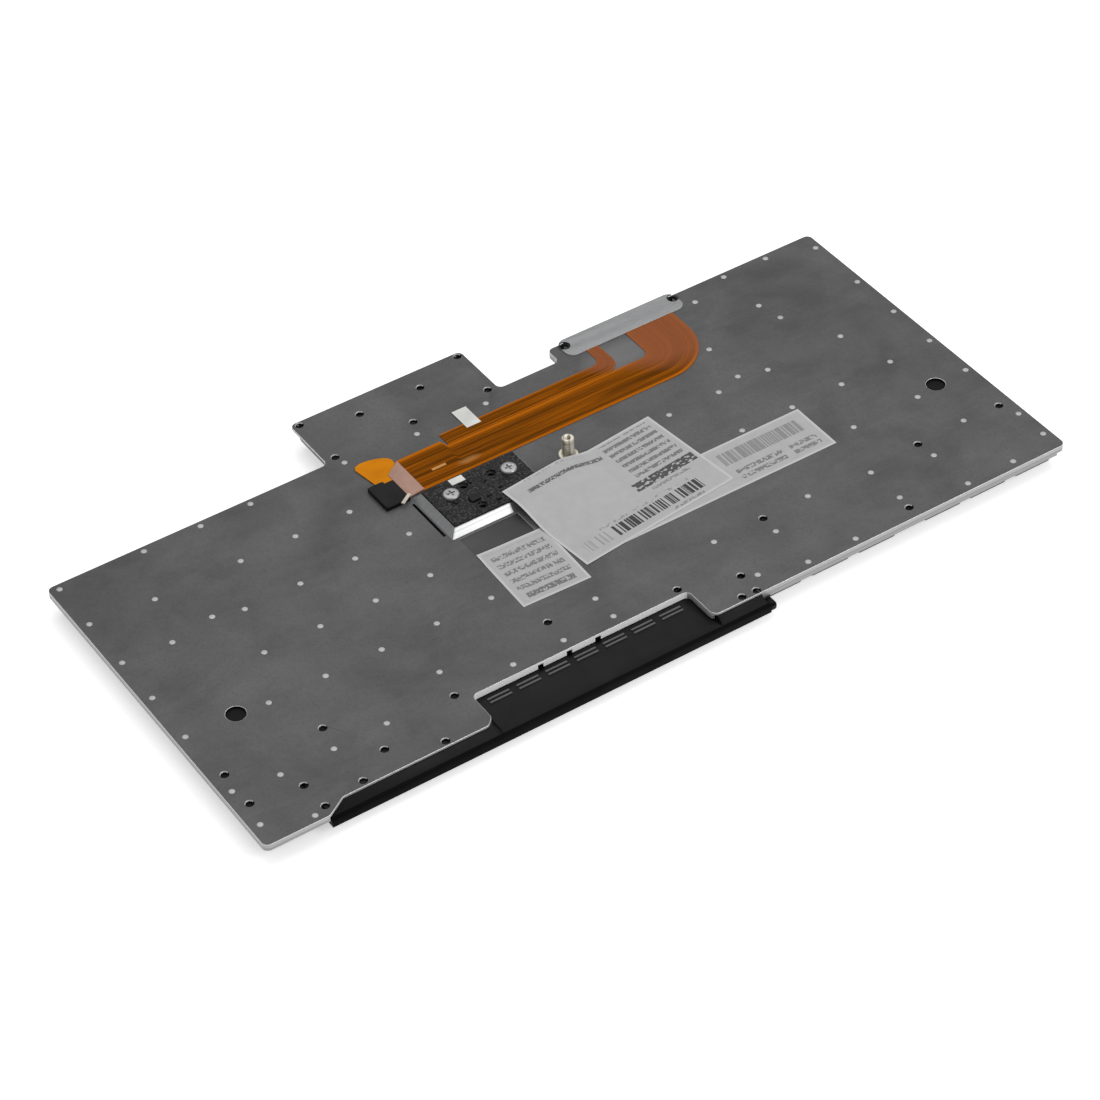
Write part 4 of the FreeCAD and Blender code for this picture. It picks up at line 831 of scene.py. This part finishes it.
def turned_brass(settings, foot):
    """Pale brass with upright dark streaks fixed in space: painted reflections, as a polished
    round shows them.
    """
    finish = Finish("Turned brass", settings.brass, 0.3, 0.6, 0.5)
    split = finish.split()
    x = finish.times(finish.math("SUBTRACT", split["X"], foot[0]), 415.0)
    y = finish.times(finish.math("SUBTRACT", split["Y"], foot[1]), -278.0)
    # The streaks follow one fixed direction, so they paint reflections onto the post
    streaks = finish.math("SINE", finish.times(finish.math("ADD", x, y), 7.0))
    rings = finish.noise(900, 2, 0.5, 0.0, finish.stretched((0.1, 0.1, 1.0)))
    dark = finish.spread(streaks, 0.1, 0.9, 0.0, 0.75)
    ringed = finish.blend(finish.spread(rings, 0.45, 0.7, 0.0, 0.3), settings.brass,
                          shaded(settings.brass, 0.6))
    finish.colour(finish.blend(dark, ringed, shaded(settings.brass, 0.32)))
    return finish.material


def make_clamp(settings):
    """Clamp bar with soft edges; walls of its screw holes painted black as shade and its other
    side faces painted lighter as highlight.
    """
    mesh = cad_copy("flex_clamp")
    for vertex in mesh.verts:
        vertex.co.z = min(vertex.co.z, UNDERSIDE + settings.clamp_lift)
    round_over(mesh, sharp_edges(mesh, 60), 0.18 * MM, 3)
    mesh.normal_update()
    # Side faces by the screws are painted black as shade, the rest lighter as highlight
    for face in mesh.faces:
        if abs(face.normal.z) < 0.97:
            face.material_index = 1 if from_clamp_screw(face) < 2.3 * MM else 2
    metal = bare_metal("Clamp metal", settings.clamp, 0.42, 0.35, (1.0, 7.0, 1.0))
    shade = moulded("Clamp hole painted shade", paint(6, 6, 6), 0.8)
    edge = bare_metal("Clamp edge painted highlight", shaded(settings.clamp, 1.7), 0.4, 0.2)
    settle(mesh, "clamp_bar", CHASSIS, [metal, shade, edge], ["flex_clamp"])


# Stick board

def make_board(settings):
    """Black board with bevelled edges and a few small parts."""
    mesh = rounded_copy("stick_board", 60, 0.08 * MM)
    board = circuit_board("Black solder mask", settings.board)
    settle(mesh, "stick_board_body", CHASSIS, [board], ["stick_board"])

    low, high = vectors(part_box("stick_board"))
    parts = bmesh.new()
    sizes = [(1.6, 0.8, 0.45), (1.0, 0.5, 0.4), (3.2, 2.6, 0.7), (0.8, 1.6, 0.45)]
    generator = random.Random(5)
    rows = [(0.30, 0.3, 2), (0.46, 0.28, 0), (0.55, 0.62, 1), (0.42, 0.72, 3), (0.62, 0.36, 1),
            (0.16, 0.42, 3), (0.52, 0.12, 0)]
    for share_x, share_y, kind in rows:
        width, depth, height = (value * MM for value in sizes[kind])
        x = low.x + share_x * (high.x - low.x) + generator.uniform(-0.2, 0.2) * MM
        y = low.y + share_y * (high.y - low.y)
        corner = Vector((x, y, high.z))
        add_block(parts, corner, corner + Vector((width, depth, height)), 0.06 * MM)
    chip = moulded("Chip body", shaded(settings.board, 0.8), 0.38)
    settle(parts, "board_parts", CHASSIS, [chip])


# Button bar and frames

def make_bar(settings):
    """Button bar and the frame of the stick buttons with rounded edges, rib tops painted light as
    highlight and the outer shelf darker as painted shade.
    """
    plastic = moulded("Black moulding", settings.moulding, specular=0.15)
    rib_highlight_plastic = moulded("Rib painted highlight", settings.rib_highlight, 0.5)
    shaded_side = moulded("Shaded moulding", shaded(settings.moulding, 0.5), 0.5, specular=0.06)
    outer = plate_point(0, 1.7).y
    low, high = plate_point(79, 12.7), plate_point(153, 15.1)
    for node, name in (("button_bar", "bar_moulding"), ("blanking_strips", "filler_bars"),
                       ("stick_button_frame", "button_frame")):
        mesh = rounded_copy(node, 40, settings.round_over)
        if node == "button_bar":
            add_block(mesh, *BAR_END, 0.6 * MM)
            mesh.normal_update()
        middles = {face: face.calc_center_median() for face in mesh.faces}
        near = {face: middle for face, middle in middles.items()
                if low.x < middle.x < high.x and low.y < middle.y < high.y}
        level = max((middle.z for middle in near.values()), default=0.0)
        # Top faces of the ribs take the light grey of painted highlight
        for face, middle in near.items():
            if middle.z > level - 0.25 * MM:
                face.material_index = 1
        for face, middle in middles.items():
            if middle.y < outer and face.normal.z > 0.1:
                face.material_index = 2
        settle(mesh, name, CHASSIS, [plastic, rib_highlight_plastic, shaded_side], [node])


def make_buttons(settings):
    """Bar buttons and stick buttons, each riding on its own body."""
    dark = moulded("Button plastic", settings.button, 0.38)
    blue = moulded("Blue button plastic", settings.accent, 0.35)
    for body, node in moving("button_", "stick_button_"):
        mesh = rounded_copy(node, 40, settings.round_over)
        accent = node == "button_assist"
        settle(mesh, f"{node}_cap", body, [blue if accent else dark],
               [node])


# Ribbon cables

def arc(centre, radius, start, end, steps):
    """Give the points of an arc, in millimetres, between two angles in degrees."""
    points = []
    for step in range(steps + 1):
        angle = math.radians(start + (end - start) * step / steps)
        points.append((centre[0] + radius * math.cos(angle), centre[1] + radius * math.sin(angle)))
    return points


def make_ribbon(name, node, near, far, material, settings):
    """Bridge two edges of equal count into a ribbon with its own chart."""
    low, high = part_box(node)
    mesh = bmesh.new()
    chart = {}
    chains = []
    for side, points in enumerate((near, far)):
        verts, travelled, last = [], 0.0, None
        for point in points:
            here = plate_point(*point)
            if last is not None:
                travelled += (here - last).length
            last = here
            vertex = mesh.verts.new((here.x, here.y, high[2]))
            verts.append(vertex)
            chart[vertex] = [side, travelled]
        for vertex in verts:
            chart[vertex][1] /= travelled
        chains.append(verts)
    edges = [mesh.edges.new(pair) for verts in chains for pair in zip(verts, verts[1:])]
    bmesh.ops.bridge_loops(mesh, edges=edges)
    layer = mesh.loops.layers.uv.new("Ribbon")
    for face in mesh.faces:
        for loop in face.loops:
            loop[layer].uv = chart[loop.vert]
    across = [e for e in mesh.edges if chart[e.verts[0]][0] != chart[e.verts[1]][0]]
    bmesh.ops.subdivide_edges(mesh, edges=across, cuts=6, use_grid_fill=True)
    for vertex in mesh.verts:
        wave = math.sin(vertex.co.x * 260) * math.cos(vertex.co.y * 190 + vertex.co.x * 90)
        vertex.co.z += settings.lift * 0.3 * (1 + wave)
    bmesh.ops.recalc_face_normals(mesh, faces=mesh.faces)
    if sum(face.normal.z for face in mesh.faces) < 0:
        bmesh.ops.reverse_faces(mesh, faces=mesh.faces)
    skirt_down(mesh, high[2] - low[2])
    settle(mesh, name, CHASSIS, [material], [node], 50)


def skirt_down(mesh, depth):
    """Give an open sheet a thickness below its surface."""
    top = list(mesh.faces)
    copy = bmesh.ops.duplicate(mesh, geom=list(mesh.verts) + list(mesh.edges) + top)
    under = [item for item in copy["geom"] if isinstance(item, bmesh.types.BMFace)]
    lower = [item for item in copy["geom"] if isinstance(item, bmesh.types.BMVert)]
    bmesh.ops.translate(mesh, vec=(0, 0, -depth), verts=lower)
    bmesh.ops.reverse_faces(mesh, faces=under)
    rims = [edge for edge in mesh.edges if edge.is_boundary]
    bmesh.ops.bridge_loops(mesh, edges=rims)
    mesh.normal_update()


def make_ribbons(settings):
    """Wide and narrow ribbon cables."""
    film = ribbon_film("Amber ribbon film", settings)
    stations = [109.5, 112.3, 115.2, 119.0, 125.0, 131.0, 132.0, 140.0, 150.0, 160.0, 170.0,
                180.0, 190.0, 198.0]
    steps = 14
    far = [(x, wide_front(x)) for x in stations] + arc((205.0, 117.1), 3.0, -90, 0, steps)
    near = [(x, 100.5) for x in stations] + arc((208.3, 118.5), 18.0, -90, 0, steps)
    make_ribbon("wide_ribbon", "main_flex", near + [(226.3, 127.6)], far + [(208.0, 127.6)],
                film, settings)
    stations = [132.5, 140.0, 150.0, 160.0, 170.0, 180.0, 188.0]
    far = [(x, 119.8) for x in stations] + arc((190.0, 122.8), 3.0, -90, 0, steps)
    near = [(x, 114.4) for x in stations] + arc((192.5, 119.4), 5.0, -90, 0, steps)
    make_ribbon("narrow_ribbon", "stick_flex", near + [(197.5, 127.6)], far + [(193.0, 127.6)],
                film, settings)


def wide_front(x):
    """Tell where the wide ribbon's front edge runs."""
    if x < 115.2:
        return 113.5 + (x - 109.5) / (115.2 - 109.5) * 3.5
    return 117.0 if x <= 131.0 else 114.1


def make_ribbon_end(settings, plastics):
    """Stiffener film, orange pull tab and the black connector."""
    pink = dull_film("Stiffener film", settings.stiffener, 0.3, 0.1)
    mesh = rounded_copy("flex_stiffener", 60, 0.06 * MM)
    settle(mesh, "stiffener_film", CHASSIS, [pink], ["flex_stiffener"])

    orange = dull_film("Orange film", settings.tab, 0.3, 0.03)
    outline = [(104.2, 109.6), (103.1, 117.0), (102.5, 120.2), (103.2, 121.7), (105.2, 122.3),
               (107.8, 122.1), (110.3, 121.4), (112.4, 120.5), (113.8, 119.4), (114.4, 118.0),
               (114.2, 116.2), (110.2, 112.6), (109.4, 109.6)]
    mesh = bmesh.new()
    low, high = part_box("pull_tab")
    mesh.faces.new([mesh.verts.new((*plate_point(*point).to_2d(), high[2]))
                    for point in reversed(outline)])
    mesh.normal_update()
    skirt_down(mesh, high[2] - low[2])
    settle(mesh, "pull_tab_film", CHASSIS, [orange], ["pull_tab"])

    low, high = vectors(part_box("board_connector"))
    high = Vector((high.x, high.y - 1.6 * MM, low.z + plastics.connector))
    mesh = bmesh.new()
    lid = high.x - 3.2 * MM
    add_block(mesh, low, (lid, high.y, high.z), 0.35 * MM, 3)
    add_block(mesh, (lid + 0.05 * MM, low.y + 0.4 * MM, low.z),
              (high.x, high.y - 0.4 * MM, high.z - 0.7 * MM), 0.25 * MM, 3)
    ridges = 5
    for ridge in range(ridges):
        y = low.y + (1.6 + ridge * 2.2) * MM
        add_block(mesh, (low.x + 0.8 * MM, y, high.z - 0.12 * MM),
                  (lid - 0.8 * MM, y + 0.9 * MM, high.z - 0.001 * MM), 0.05 * MM)
    black = moulded("Connector plastic", plastics.moulding, 0.5)
    settle(mesh, "connector_body", CHASSIS, [black], ["board_connector"])

    # A thin pale strip laid over the stiffener's near end
    mesh = bmesh.new()
    add_block(mesh, (-2.4 * MM, -0.55 * MM, 0), (2.4 * MM, 0.55 * MM, 0.15 * MM))
    turn = Matrix.Rotation(math.radians(33), 4, "Z")
    spot = plate_point(107.6, 98.9) + Vector((0, 0, high.z))
    mesh.transform(Matrix.Translation(spot) @ turn)
    pale = dull_film("Pale film strip", settings.fold, 0.4, 0.1)
    settle(mesh, "film_fold", CHASSIS, [pale])


# Paper

def sheet_piece(name, node, middle, span, turn, height_at, cells, material):
    """Lay a thin paper sheet over a surface, with its own chart."""
    mesh = bmesh.new()
    bmesh.ops.create_grid(mesh, x_segments=cells[0], y_segments=cells[1], size=0.5)
    layer = mesh.loops.layers.uv.new("Label")
    for face in mesh.faces:
        for loop in face.loops:
            loop[layer].uv = (loop.vert.co.x + 0.5, loop.vert.co.y + 0.5)
    bmesh.ops.scale(mesh, vec=(span[0], span[1], 1), verts=mesh.verts)
    bmesh.ops.rotate(mesh, cent=(0, 0, 0), matrix=Matrix.Rotation(turn, 3, "Z"),
                     verts=mesh.verts)
    bmesh.ops.translate(mesh, vec=(middle[0], middle[1], 0), verts=mesh.verts)
    for vertex in mesh.verts:
        vertex.co.z = height_at(vertex.co.x, vertex.co.y)
    mesh.normal_update()
    skirt_down(mesh, 0.1 * MM)
    settle(mesh, name, CHASSIS, [material], [node] if node else (), 40)


def smooth_step(value):
    """Ease a value between nothing and one."""
    value = max(0.0, min(1.0, value))
    return value * value * (3 - 2 * value)


def tent():
    """Tell how high the large label lies: over the bracket's corner and down to the plate."""
    low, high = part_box("stick_board")
    board_right, board_rear, rise = high[0], low[1], high[2] - UNDERSIDE

    def height_at(x, y):
        across = smooth_step((board_right + 21.5 * MM - x) / (14 * MM))
        along = smooth_step((y - board_rear + 17 * MM) / (15.5 * MM))
        base = UNDERSIDE + 0.25 * MM
        return base + (rise + 0.12 * MM) * min(across, along) ** 0.9

    return height_at


def make_labels(settings):
    """Large label, strip label and small label with plain marks for print."""
    span = (58.6 * MM, 39.6 * MM)
    large = printed_paper("Large label paper", settings, *span, [
        (6, 35, 33.4, 35.2, 1.7, 0.42, 1.0, 1.8),
        (8, 26, 38.4, 39.4, 1.6, 0.5, 0.4, 1.0),
        (37, 56, 19.8, 38.2, 1.5, 0.42, 0.8, 3.0, 0.5),
        (33, 57, 14.4, 18.2, 0.8, 0.42, 1.15, 3.8, 1.0),
        (37, 52, 12.2, 13.5, 1.5, 0.46, 0.6, 1.3),
        (12, 48, 8.8, 10.0, 0.9, 0.56, 0.5, 1.2),
        (16, 50, 3.2, 8.0, 1.7, 0.47, 0.97),
        (4, 14, 3.2, 8.0, 1.2, 0.55, 0.4),
        (36, 48, 1.0, 2.2, 1.8, 0.48, 0.6, 1.2),
    ])
    sheet_piece("large_label", "label_large", plate_point(163.2, 66.5).to_2d(), span,
                math.radians(6.3), tent(), (84, 60), large)

    strip_low, strip_high = vectors(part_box("label_strip"))
    span = strip_high - strip_low
    strip = printed_paper("Strip label paper", settings, span.x, span.y, [
        (50, 80, 10.6, 16.4, 2.1, 0.45, 0.45),
        (51, 68, 2.8, 8.0, 1.1, 0.46, 0.75, 2.9, 0.62),
        (71, 81, 2.8, 8.0, 1.1, 0.46, 0.7, 2.9, 0.62),
    ])
    flat = strip_high.z
    sheet_piece("strip_label", "label_strip", (strip_low + span / 2).to_2d(), (span.x, span.y),
                0.0, lambda x, y: flat, (42, 10), strip)

    small_low, small_high = vectors(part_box("label_small"))
    small = printed_paper("Small label paper", settings, 23.5 * MM, 27 * MM, [
        (2.5, 21, 6.6, 25.2, 1.2, 0.47, 0.75, 3.7, 0.52),
        (3.5, 20, 2.4, 5.0, 1.3, 0.42, 0.85, 2.6),
    ])
    corner = Vector((small_low.x, small_high.y))

    def curled(x, y):
        reach = max(0.0, 1 - (Vector((x, y)) - corner).length / (9 * MM))
        return small_high.z + settings.curl * reach * reach

    middle = ((small_low + small_high) / 2).to_2d()
    sheet_piece("small_label", "label_small", middle, (23.5 * MM, 27 * MM),
                math.radians(-1.9), curled, (24, 27), small)


def make_tapes(settings):
    """Two patches of white tape that drop over the edges under them."""
    finish = dull_film("White tape", settings.tape, 0.6)
    ribbon_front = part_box("stick_flex")[1][1]
    for count, (low, high) in enumerate(solid_boxes("tape_patches")):
        def drape(_, y, high=high):
            over_plate = high.z < UNDERSIDE + MM and y > ribbon_front
            drop = smooth_step((y - ribbon_front) / (1.2 * MM)) * 0.18 * MM
            return high.z - (drop if over_plate else 0.0)

        mesh_name = "board_tape" if count == 0 else "ribbon_tape"
        middle = ((low + high) / 2).to_2d()
        span = (high.x - low.x, high.y - low.y)
        node = "tape_patches" if count == 0 else None
        sheet_piece(mesh_name, node, middle, span, 0.0, drape, (6, 12), finish)


# Keys

LETTER_ROWS = ["`1234567890-=", "QWERTYUIOP[]", "ASDGHKL;'", "ZXCVBNM,./"]
REAR_WORDS = ["print", "scroll", "pause", "insert", "home", "pgup"]
FUNCTION_WORDS = [f"F{number}" for number in range(1, 13)] + ["delete", "end", "pgdn"]
KEY_WORDS = {
    "key_escape": "esc", "key_backspace": "backspace", "key_tab": "tab", "key_backslash": "\\",
    "key_caps": "caps lock", "key_index_left": "F", "key_index_right": "J",
    "key_enter": "enter", "key_left_shift": "shift", "key_right_shift": "shift",
    "key_function": "fn", "key_left_control": "ctrl", "key_left_alt": "alt",
    "key_right_alt": "alt", "key_right_control": "ctrl", "key_page_back": "<",
    "key_page_forward": ">", "key_arrow_up": "^", "key_arrow_left": "<-",
    "key_arrow_right": "->", "key_arrow_down": "v", "key_menu": "=", "key_system": "o",
}


def dish_tops(mesh, level, settings):
    """Sink a shallow hollow with a soft border into every key top."""
    tops = [face for face in mesh.faces
            if face.normal.z < -0.99 and face.calc_center_median().z < level + 0.05 * MM]
    for _ in range(2):
        bmesh.ops.inset_individual(mesh, faces=tops, thickness=0.9 * MM,
                                   depth=-settings.dish / 2, use_even_offset=True)


def make_cap(node, name, body, plastic, settings):
    """Round a cap's edges and dish its top."""
    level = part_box(node)[0][2]

    def outer(edge):
        return min(v.co.z for v in edge.verts) < 1.15 * MM or (
            edge.verts[0].co - edge.verts[1].co).normalized().z ** 2 > 0.5

    mesh = rounded_copy(node, 40, settings.cap_round, 2, outer)
    dish_tops(mesh, level, settings)
    settle(mesh, name, body, [plastic], [node])


def add_word(mesh, word, box, settings):
    """Lay a word into the dish of a key, near its rear left corner."""
    low = box[0]
    curve = bpy.data.curves.new("legend", "FONT")
    curve.body = word
    curve.size = (4.2 if len(word) == 1 else 2.5) * MM
    curve.resolution_u = 3
    holder = bpy.data.objects.new("legend", curve)
    data = bpy.data.meshes.new_from_object(holder)
    corner = (low.x + 3.4 * MM, low.y + 2.9 * MM + curve.size * 0.7,
              CAD_BOUNDS[0][2] + settings.dish - 0.02 * MM)
    data.transform(Matrix.Translation(corner) @ Matrix.Rotation(math.pi, 4, "X"))
    mesh.from_mesh(data)
    bpy.data.objects.remove(holder)
    bpy.data.curves.remove(curve)
    bpy.data.meshes.remove(data)


def key_rows(node):
    """Give the boxes of a group of keys in rows from the rear, each from left to right."""
    rows = {}
    for box in solid_boxes(node):
        rows.setdefault(round(box[0].y / (2 * MM)), []).append(box)
    return [rows[place] for place in sorted(rows)]


def make_legends(settings):
    """Plain letters, numbers and words on the keys."""
    finish = Finish("Legend ink", settings.legend, 0.5, 0.0, 0.3)
    fades = finish.noise(400, 3, 0.6)
    finish.colour(finish.blend(fades, shaded(settings.legend, 0.85), settings.legend))
    fixed = bmesh.new()
    for row, words in zip(key_rows("letter_keys"), LETTER_ROWS):
        for box, word in zip(row, words):
            add_word(fixed, word, box, settings)
    for row, words in zip(key_rows("function_keys"), (REAR_WORDS, FUNCTION_WORDS)):
        for box, word in zip(row, words):
            add_word(fixed, word, box, settings)
    settle(fixed, "fixed_legends", CHASSIS, [finish.material])
    for body, node in moving("key_"):
        word = KEY_WORDS.get(node)
        if word:
            mesh = bmesh.new()
            box = vectors(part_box(node))
            add_word(mesh, word, box, settings)
            settle(mesh, f"{node}_legend", body, [finish.material])


def make_keys(settings):
    """Every key cap, moving and fixed."""
    plastic = moulded("Key plastic", settings.cap, 0.48)
    for body, node in moving("key_"):
        make_cap(node, f"{node}_cap", body, plastic, settings)
    make_cap("letter_keys", "letter_caps", CHASSIS, plastic, settings)
    make_cap("function_keys", "function_caps", CHASSIS, plastic, settings)
    make_legends(settings)


def make_domes(settings):
    """Rubber domes, each a skirt on the membrane and a plunger that the key pushes into it."""
    rubber = soft_rubber("Dome rubber", settings.dome)
    boxes = solid_boxes("rubber_domes")
    skirts = bmesh.new()
    key_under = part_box("key_escape")[1][2]
    for low, high in boxes:
        radius = (high.x - low.x) / 2 / MM
        depth = (high.z - key_under) / MM
        profile = [(0.58 * radius, 0), (radius, 0), (radius, -0.3), (0.72 * radius, -depth),
                   (0.58 * radius, -depth), (0.58 * radius, 0)]
        add_copy(skirts, lathe(profile, 20, (*middle_of(low, high), high.z)))
    settle(skirts, "dome_skirts", CHASSIS, [rubber], ["rubber_domes"])
    for body, node in moving("key_"):
        corner, end = vectors(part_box(node))
        for low, high in boxes:
            across, along = middle_of(low, high)
            if corner.x < across < end.x and corner.y < along < end.y:
                start = low.z - 0.25 * MM
                length = (end.z - start) / MM
                profile = [(0, 0), (1.6, 0), (1.6, length), (0, length)]
                plunger = lathe(profile, 16, (across, along, start))
                settle(plunger, f"{node}_plunger", body, [rubber])


def make_hidden_parts(plastics):
    """Finishes for the parts between the plate and the keys, with a near-black membrane and dark
    discs as painted shade behind the plate's holes.
    """
    # Near-black membrane: dark for the black plastic behind the holes, and darker still as painted
    # shade seen through the plate's holes
    film = dull_film("Membrane film", paint(4, 4, 5), 0.7)
    dress("membrane_sheet", film)
    shade_discs = bmesh.new()
    # Dark film discs behind five screw holes where the membrane is cut: painted shade
    profile = [(0, 7.0), (2.2, 7.0), (2.2, 7.08), (0, 7.08)]
    for hole in SHADED_HOLES:
        add_copy(shade_discs, lathe(profile, 16, plate_point(*hole)))
    settle(shade_discs, "hole_backings", CHASSIS, [film])
    dress("stick_post", moulded("Post plastic", paint(204, 204, 198)))
    mesh = rounded_copy("stick_cap", 60, 0.7 * MM, 4)
    settle(mesh, "stick_cap_soft", CHASSIS, [soft_rubber("Red rubber", plastics.stick)],
           ["stick_cap"])


# Stage

def make_floor(settings):
    """Wide pale floor that shows white and keeps the shadow."""
    mesh = bmesh.new()
    bmesh.ops.create_grid(mesh, x_segments=1, y_segments=1, size=6.0)
    bmesh.ops.translate(mesh, vec=(0, 0, CAD_BOUNDS[0][2]), verts=mesh.verts)
    data = bpy.data.meshes.new("floor")
    mesh.to_mesh(data)
    mesh.free()
    floor = new_object("floor", data)
    finish = Finish("Pale floor", settings.floor, 0.9, 0.0, 0.1)
    rays = finish.add("ShaderNodeLightPath")
    seen = finish.math("MAXIMUM", rays.outputs["Is Camera Ray"], rays.outputs["Is Glossy Ray"])
    glow = finish.times(seen, settings.glow)
    finish.shader.inputs["Emission Color"].default_value = (1, 1, 1, 1)
    finish.tree.links.new(glow, finish.shader.inputs["Emission Strength"])
    data.materials.append(finish.material)


def add_softbox(name, place, target, width, height, power):
    """Add a rectangular light that faces a point."""
    light = bpy.data.lights.new(name, "AREA")
    light.shape = "RECTANGLE"
    light.size = width
    light.size_y = height
    light.energy = power
    lamp = new_object(name, light)
    direction = Vector(target) - Vector(place)
    turn = direction.to_track_quat("-Z", "Y").to_matrix().to_4x4()
    lamp.matrix_world = Matrix.Translation(place) @ turn


def make_world(settings):
    """Even room light that shows white to the camera and in reflections."""
    world = bpy.data.worlds.new("Room")
    bpy.context.scene.world = world
    world.use_nodes = True
    tree = world.node_tree
    background = tree.nodes["Background"]
    background.inputs["Color"].default_value = (1, 1, 1, 1)
    rays = tree.nodes.new("ShaderNodeLightPath")
    lift = tree.nodes.new("ShaderNodeMapRange")
    lift.inputs["To Min"].default_value = settings.world
    lift.inputs["To Max"].default_value = 1.0
    tree.links.new(rays.outputs["Is Camera Ray"], lift.inputs["Value"])
    tree.links.new(lift.outputs["Result"], background.inputs["Strength"])


def add_camera(settings):
    """Stand the camera where the photograph was taken."""
    data = bpy.data.cameras.new("Camera")
    data.sensor_width = 36
    data.lens = settings.lens
    data.clip_end = 20
    camera = new_object("Camera", data)
    right = Vector((0.83092112, -0.55561166, -0.02942402))
    up = Vector((0.38964738, 0.54334036, 0.74361023))
    back = Vector((-0.39717126, -0.62934644, 0.6679656))
    turn = Matrix((right, up, back)).transposed().to_4x4()
    place = (-0.43473, -0.68928, 0.71881)
    camera.matrix_world = Matrix.Translation(place) @ turn
    bpy.context.scene.camera = camera


# Operators

class KeyboardOperator:
    """What every operator of this add-on shares."""

    bl_options = {"REGISTER", "UNDO"}

    def execute(self, context):
        self.build(context.scene)
        return {"FINISHED"}


class KEYBOARD_OT_plate(KeyboardOperator, Operator):
    """Make the base plate and its rivets"""

    bl_idname = "keyboard.plate"
    bl_label = "Base plate"

    def build(self, scene):
        make_plate(scene.keyboard_plate)
        make_rivets(scene.keyboard_plate)


class KEYBOARD_OT_metal(KeyboardOperator, Operator):
    """Make the bracket, screws, brass post and clamp bar"""

    bl_idname = "keyboard.metal"
    bl_label = "Metal parts"

    def build(self, scene):
        make_bracket(scene.keyboard_plate)
        make_screws(scene.keyboard_plate)
        make_post(scene.keyboard_plate)
        make_clamp(scene.keyboard_plate)


class KEYBOARD_OT_board(KeyboardOperator, Operator):
    """Make the stick board and its small parts"""

    bl_idname = "keyboard.board"
    bl_label = "Stick board"

    def build(self, scene):
        make_board(scene.keyboard_plastic)


class KEYBOARD_OT_bar(KeyboardOperator, Operator):
    """Make the button bar, the frames and the buttons"""

    bl_idname = "keyboard.bar"
    bl_label = "Button bar"

    def build(self, scene):
        make_bar(scene.keyboard_plastic)
        make_buttons(scene.keyboard_plastic)


class KEYBOARD_OT_ribbons(KeyboardOperator, Operator):
    """Make the ribbon cables, stiffener, pull tab and connector"""

    bl_idname = "keyboard.ribbons"
    bl_label = "Ribbon cables"

    def build(self, scene):
        make_ribbons(scene.keyboard_ribbon)
        make_ribbon_end(scene.keyboard_ribbon, scene.keyboard_plastic)


class KEYBOARD_OT_paper(KeyboardOperator, Operator):
    """Make the labels and the tape"""

    bl_idname = "keyboard.paper"
    bl_label = "Labels and tape"

    def build(self, scene):
        make_labels(scene.keyboard_paper)
        make_tapes(scene.keyboard_paper)


class KEYBOARD_OT_keys(KeyboardOperator, Operator):
    """Make the key caps and finish the parts under them"""

    bl_idname = "keyboard.keys"
    bl_label = "Keys"

    def build(self, scene):
        make_keys(scene.keyboard_plastic)
        make_domes(scene.keyboard_plastic)
        make_hidden_parts(scene.keyboard_plastic)


class KEYBOARD_OT_stage(KeyboardOperator, Operator):
    """Set up the floor, the light and the camera"""

    bl_idname = "keyboard.stage"
    bl_label = "Stage"

    def build(self, scene):
        settings = scene.keyboard_stage
        make_floor(settings)
        make_world(settings)
        add_softbox("Mirror softbox", (0.62, -1.04, 0.98), (0, 0, 0), 0.8, 0.5,
                    settings.key_power)
        add_softbox("Overhead softbox", (0.3, 0.5, 1.5), (0, 0, 0), 1.8, 1.8,
                    settings.fill_power)
        add_camera(settings)
        scene.view_settings.view_transform = "Standard"


GROUPS = [
    ("keyboard_plate", PlateSettings), ("keyboard_plastic", PlasticSettings),
    ("keyboard_ribbon", RibbonSettings), ("keyboard_paper", PaperSettings),
    ("keyboard_stage", StageSettings),
]
OPERATORS = [
    KEYBOARD_OT_plate, KEYBOARD_OT_metal, KEYBOARD_OT_board, KEYBOARD_OT_bar,
    KEYBOARD_OT_ribbons, KEYBOARD_OT_paper, KEYBOARD_OT_keys, KEYBOARD_OT_stage,
]


class KEYBOARD_PT_panel(Panel):
    """Settings and steps of the keyboard"""

    bl_idname = "KEYBOARD_PT_panel"
    bl_label = "Keyboard"
    bl_space_type = "VIEW_3D"
    bl_region_type = "UI"
    bl_category = "Keyboard"

    def draw(self, context):
        for name, group in GROUPS:
            box = self.layout.box()
            box.label(text=group.__doc__.rstrip("."))
            for field in group.__annotations__:
                box.prop(getattr(context.scene, name), field)
        for operator in OPERATORS:
            self.layout.operator(operator.bl_idname)


def register():
    """Register the settings, the operators and the panel."""
    for name, group in GROUPS:
        bpy.utils.register_class(group)
        setattr(bpy.types.Scene, name, PointerProperty(type=group))
    for operator in OPERATORS:
        bpy.utils.register_class(operator)
    bpy.utils.register_class(KEYBOARD_PT_panel)


def unregister():
    """Take away what register added."""
    bpy.utils.unregister_class(KEYBOARD_PT_panel)
    for operator in reversed(OPERATORS):
        bpy.utils.unregister_class(operator)
    for name, group in reversed(GROUPS):
        delattr(bpy.types.Scene, name)
        bpy.utils.unregister_class(group)


def main():
    """Build the whole scene in order."""
    register()
    for operator in OPERATORS:
        name = operator.bl_idname.split(".")[1]
        getattr(bpy.ops.keyboard, name)()


if __name__ == "__main__":
    main()
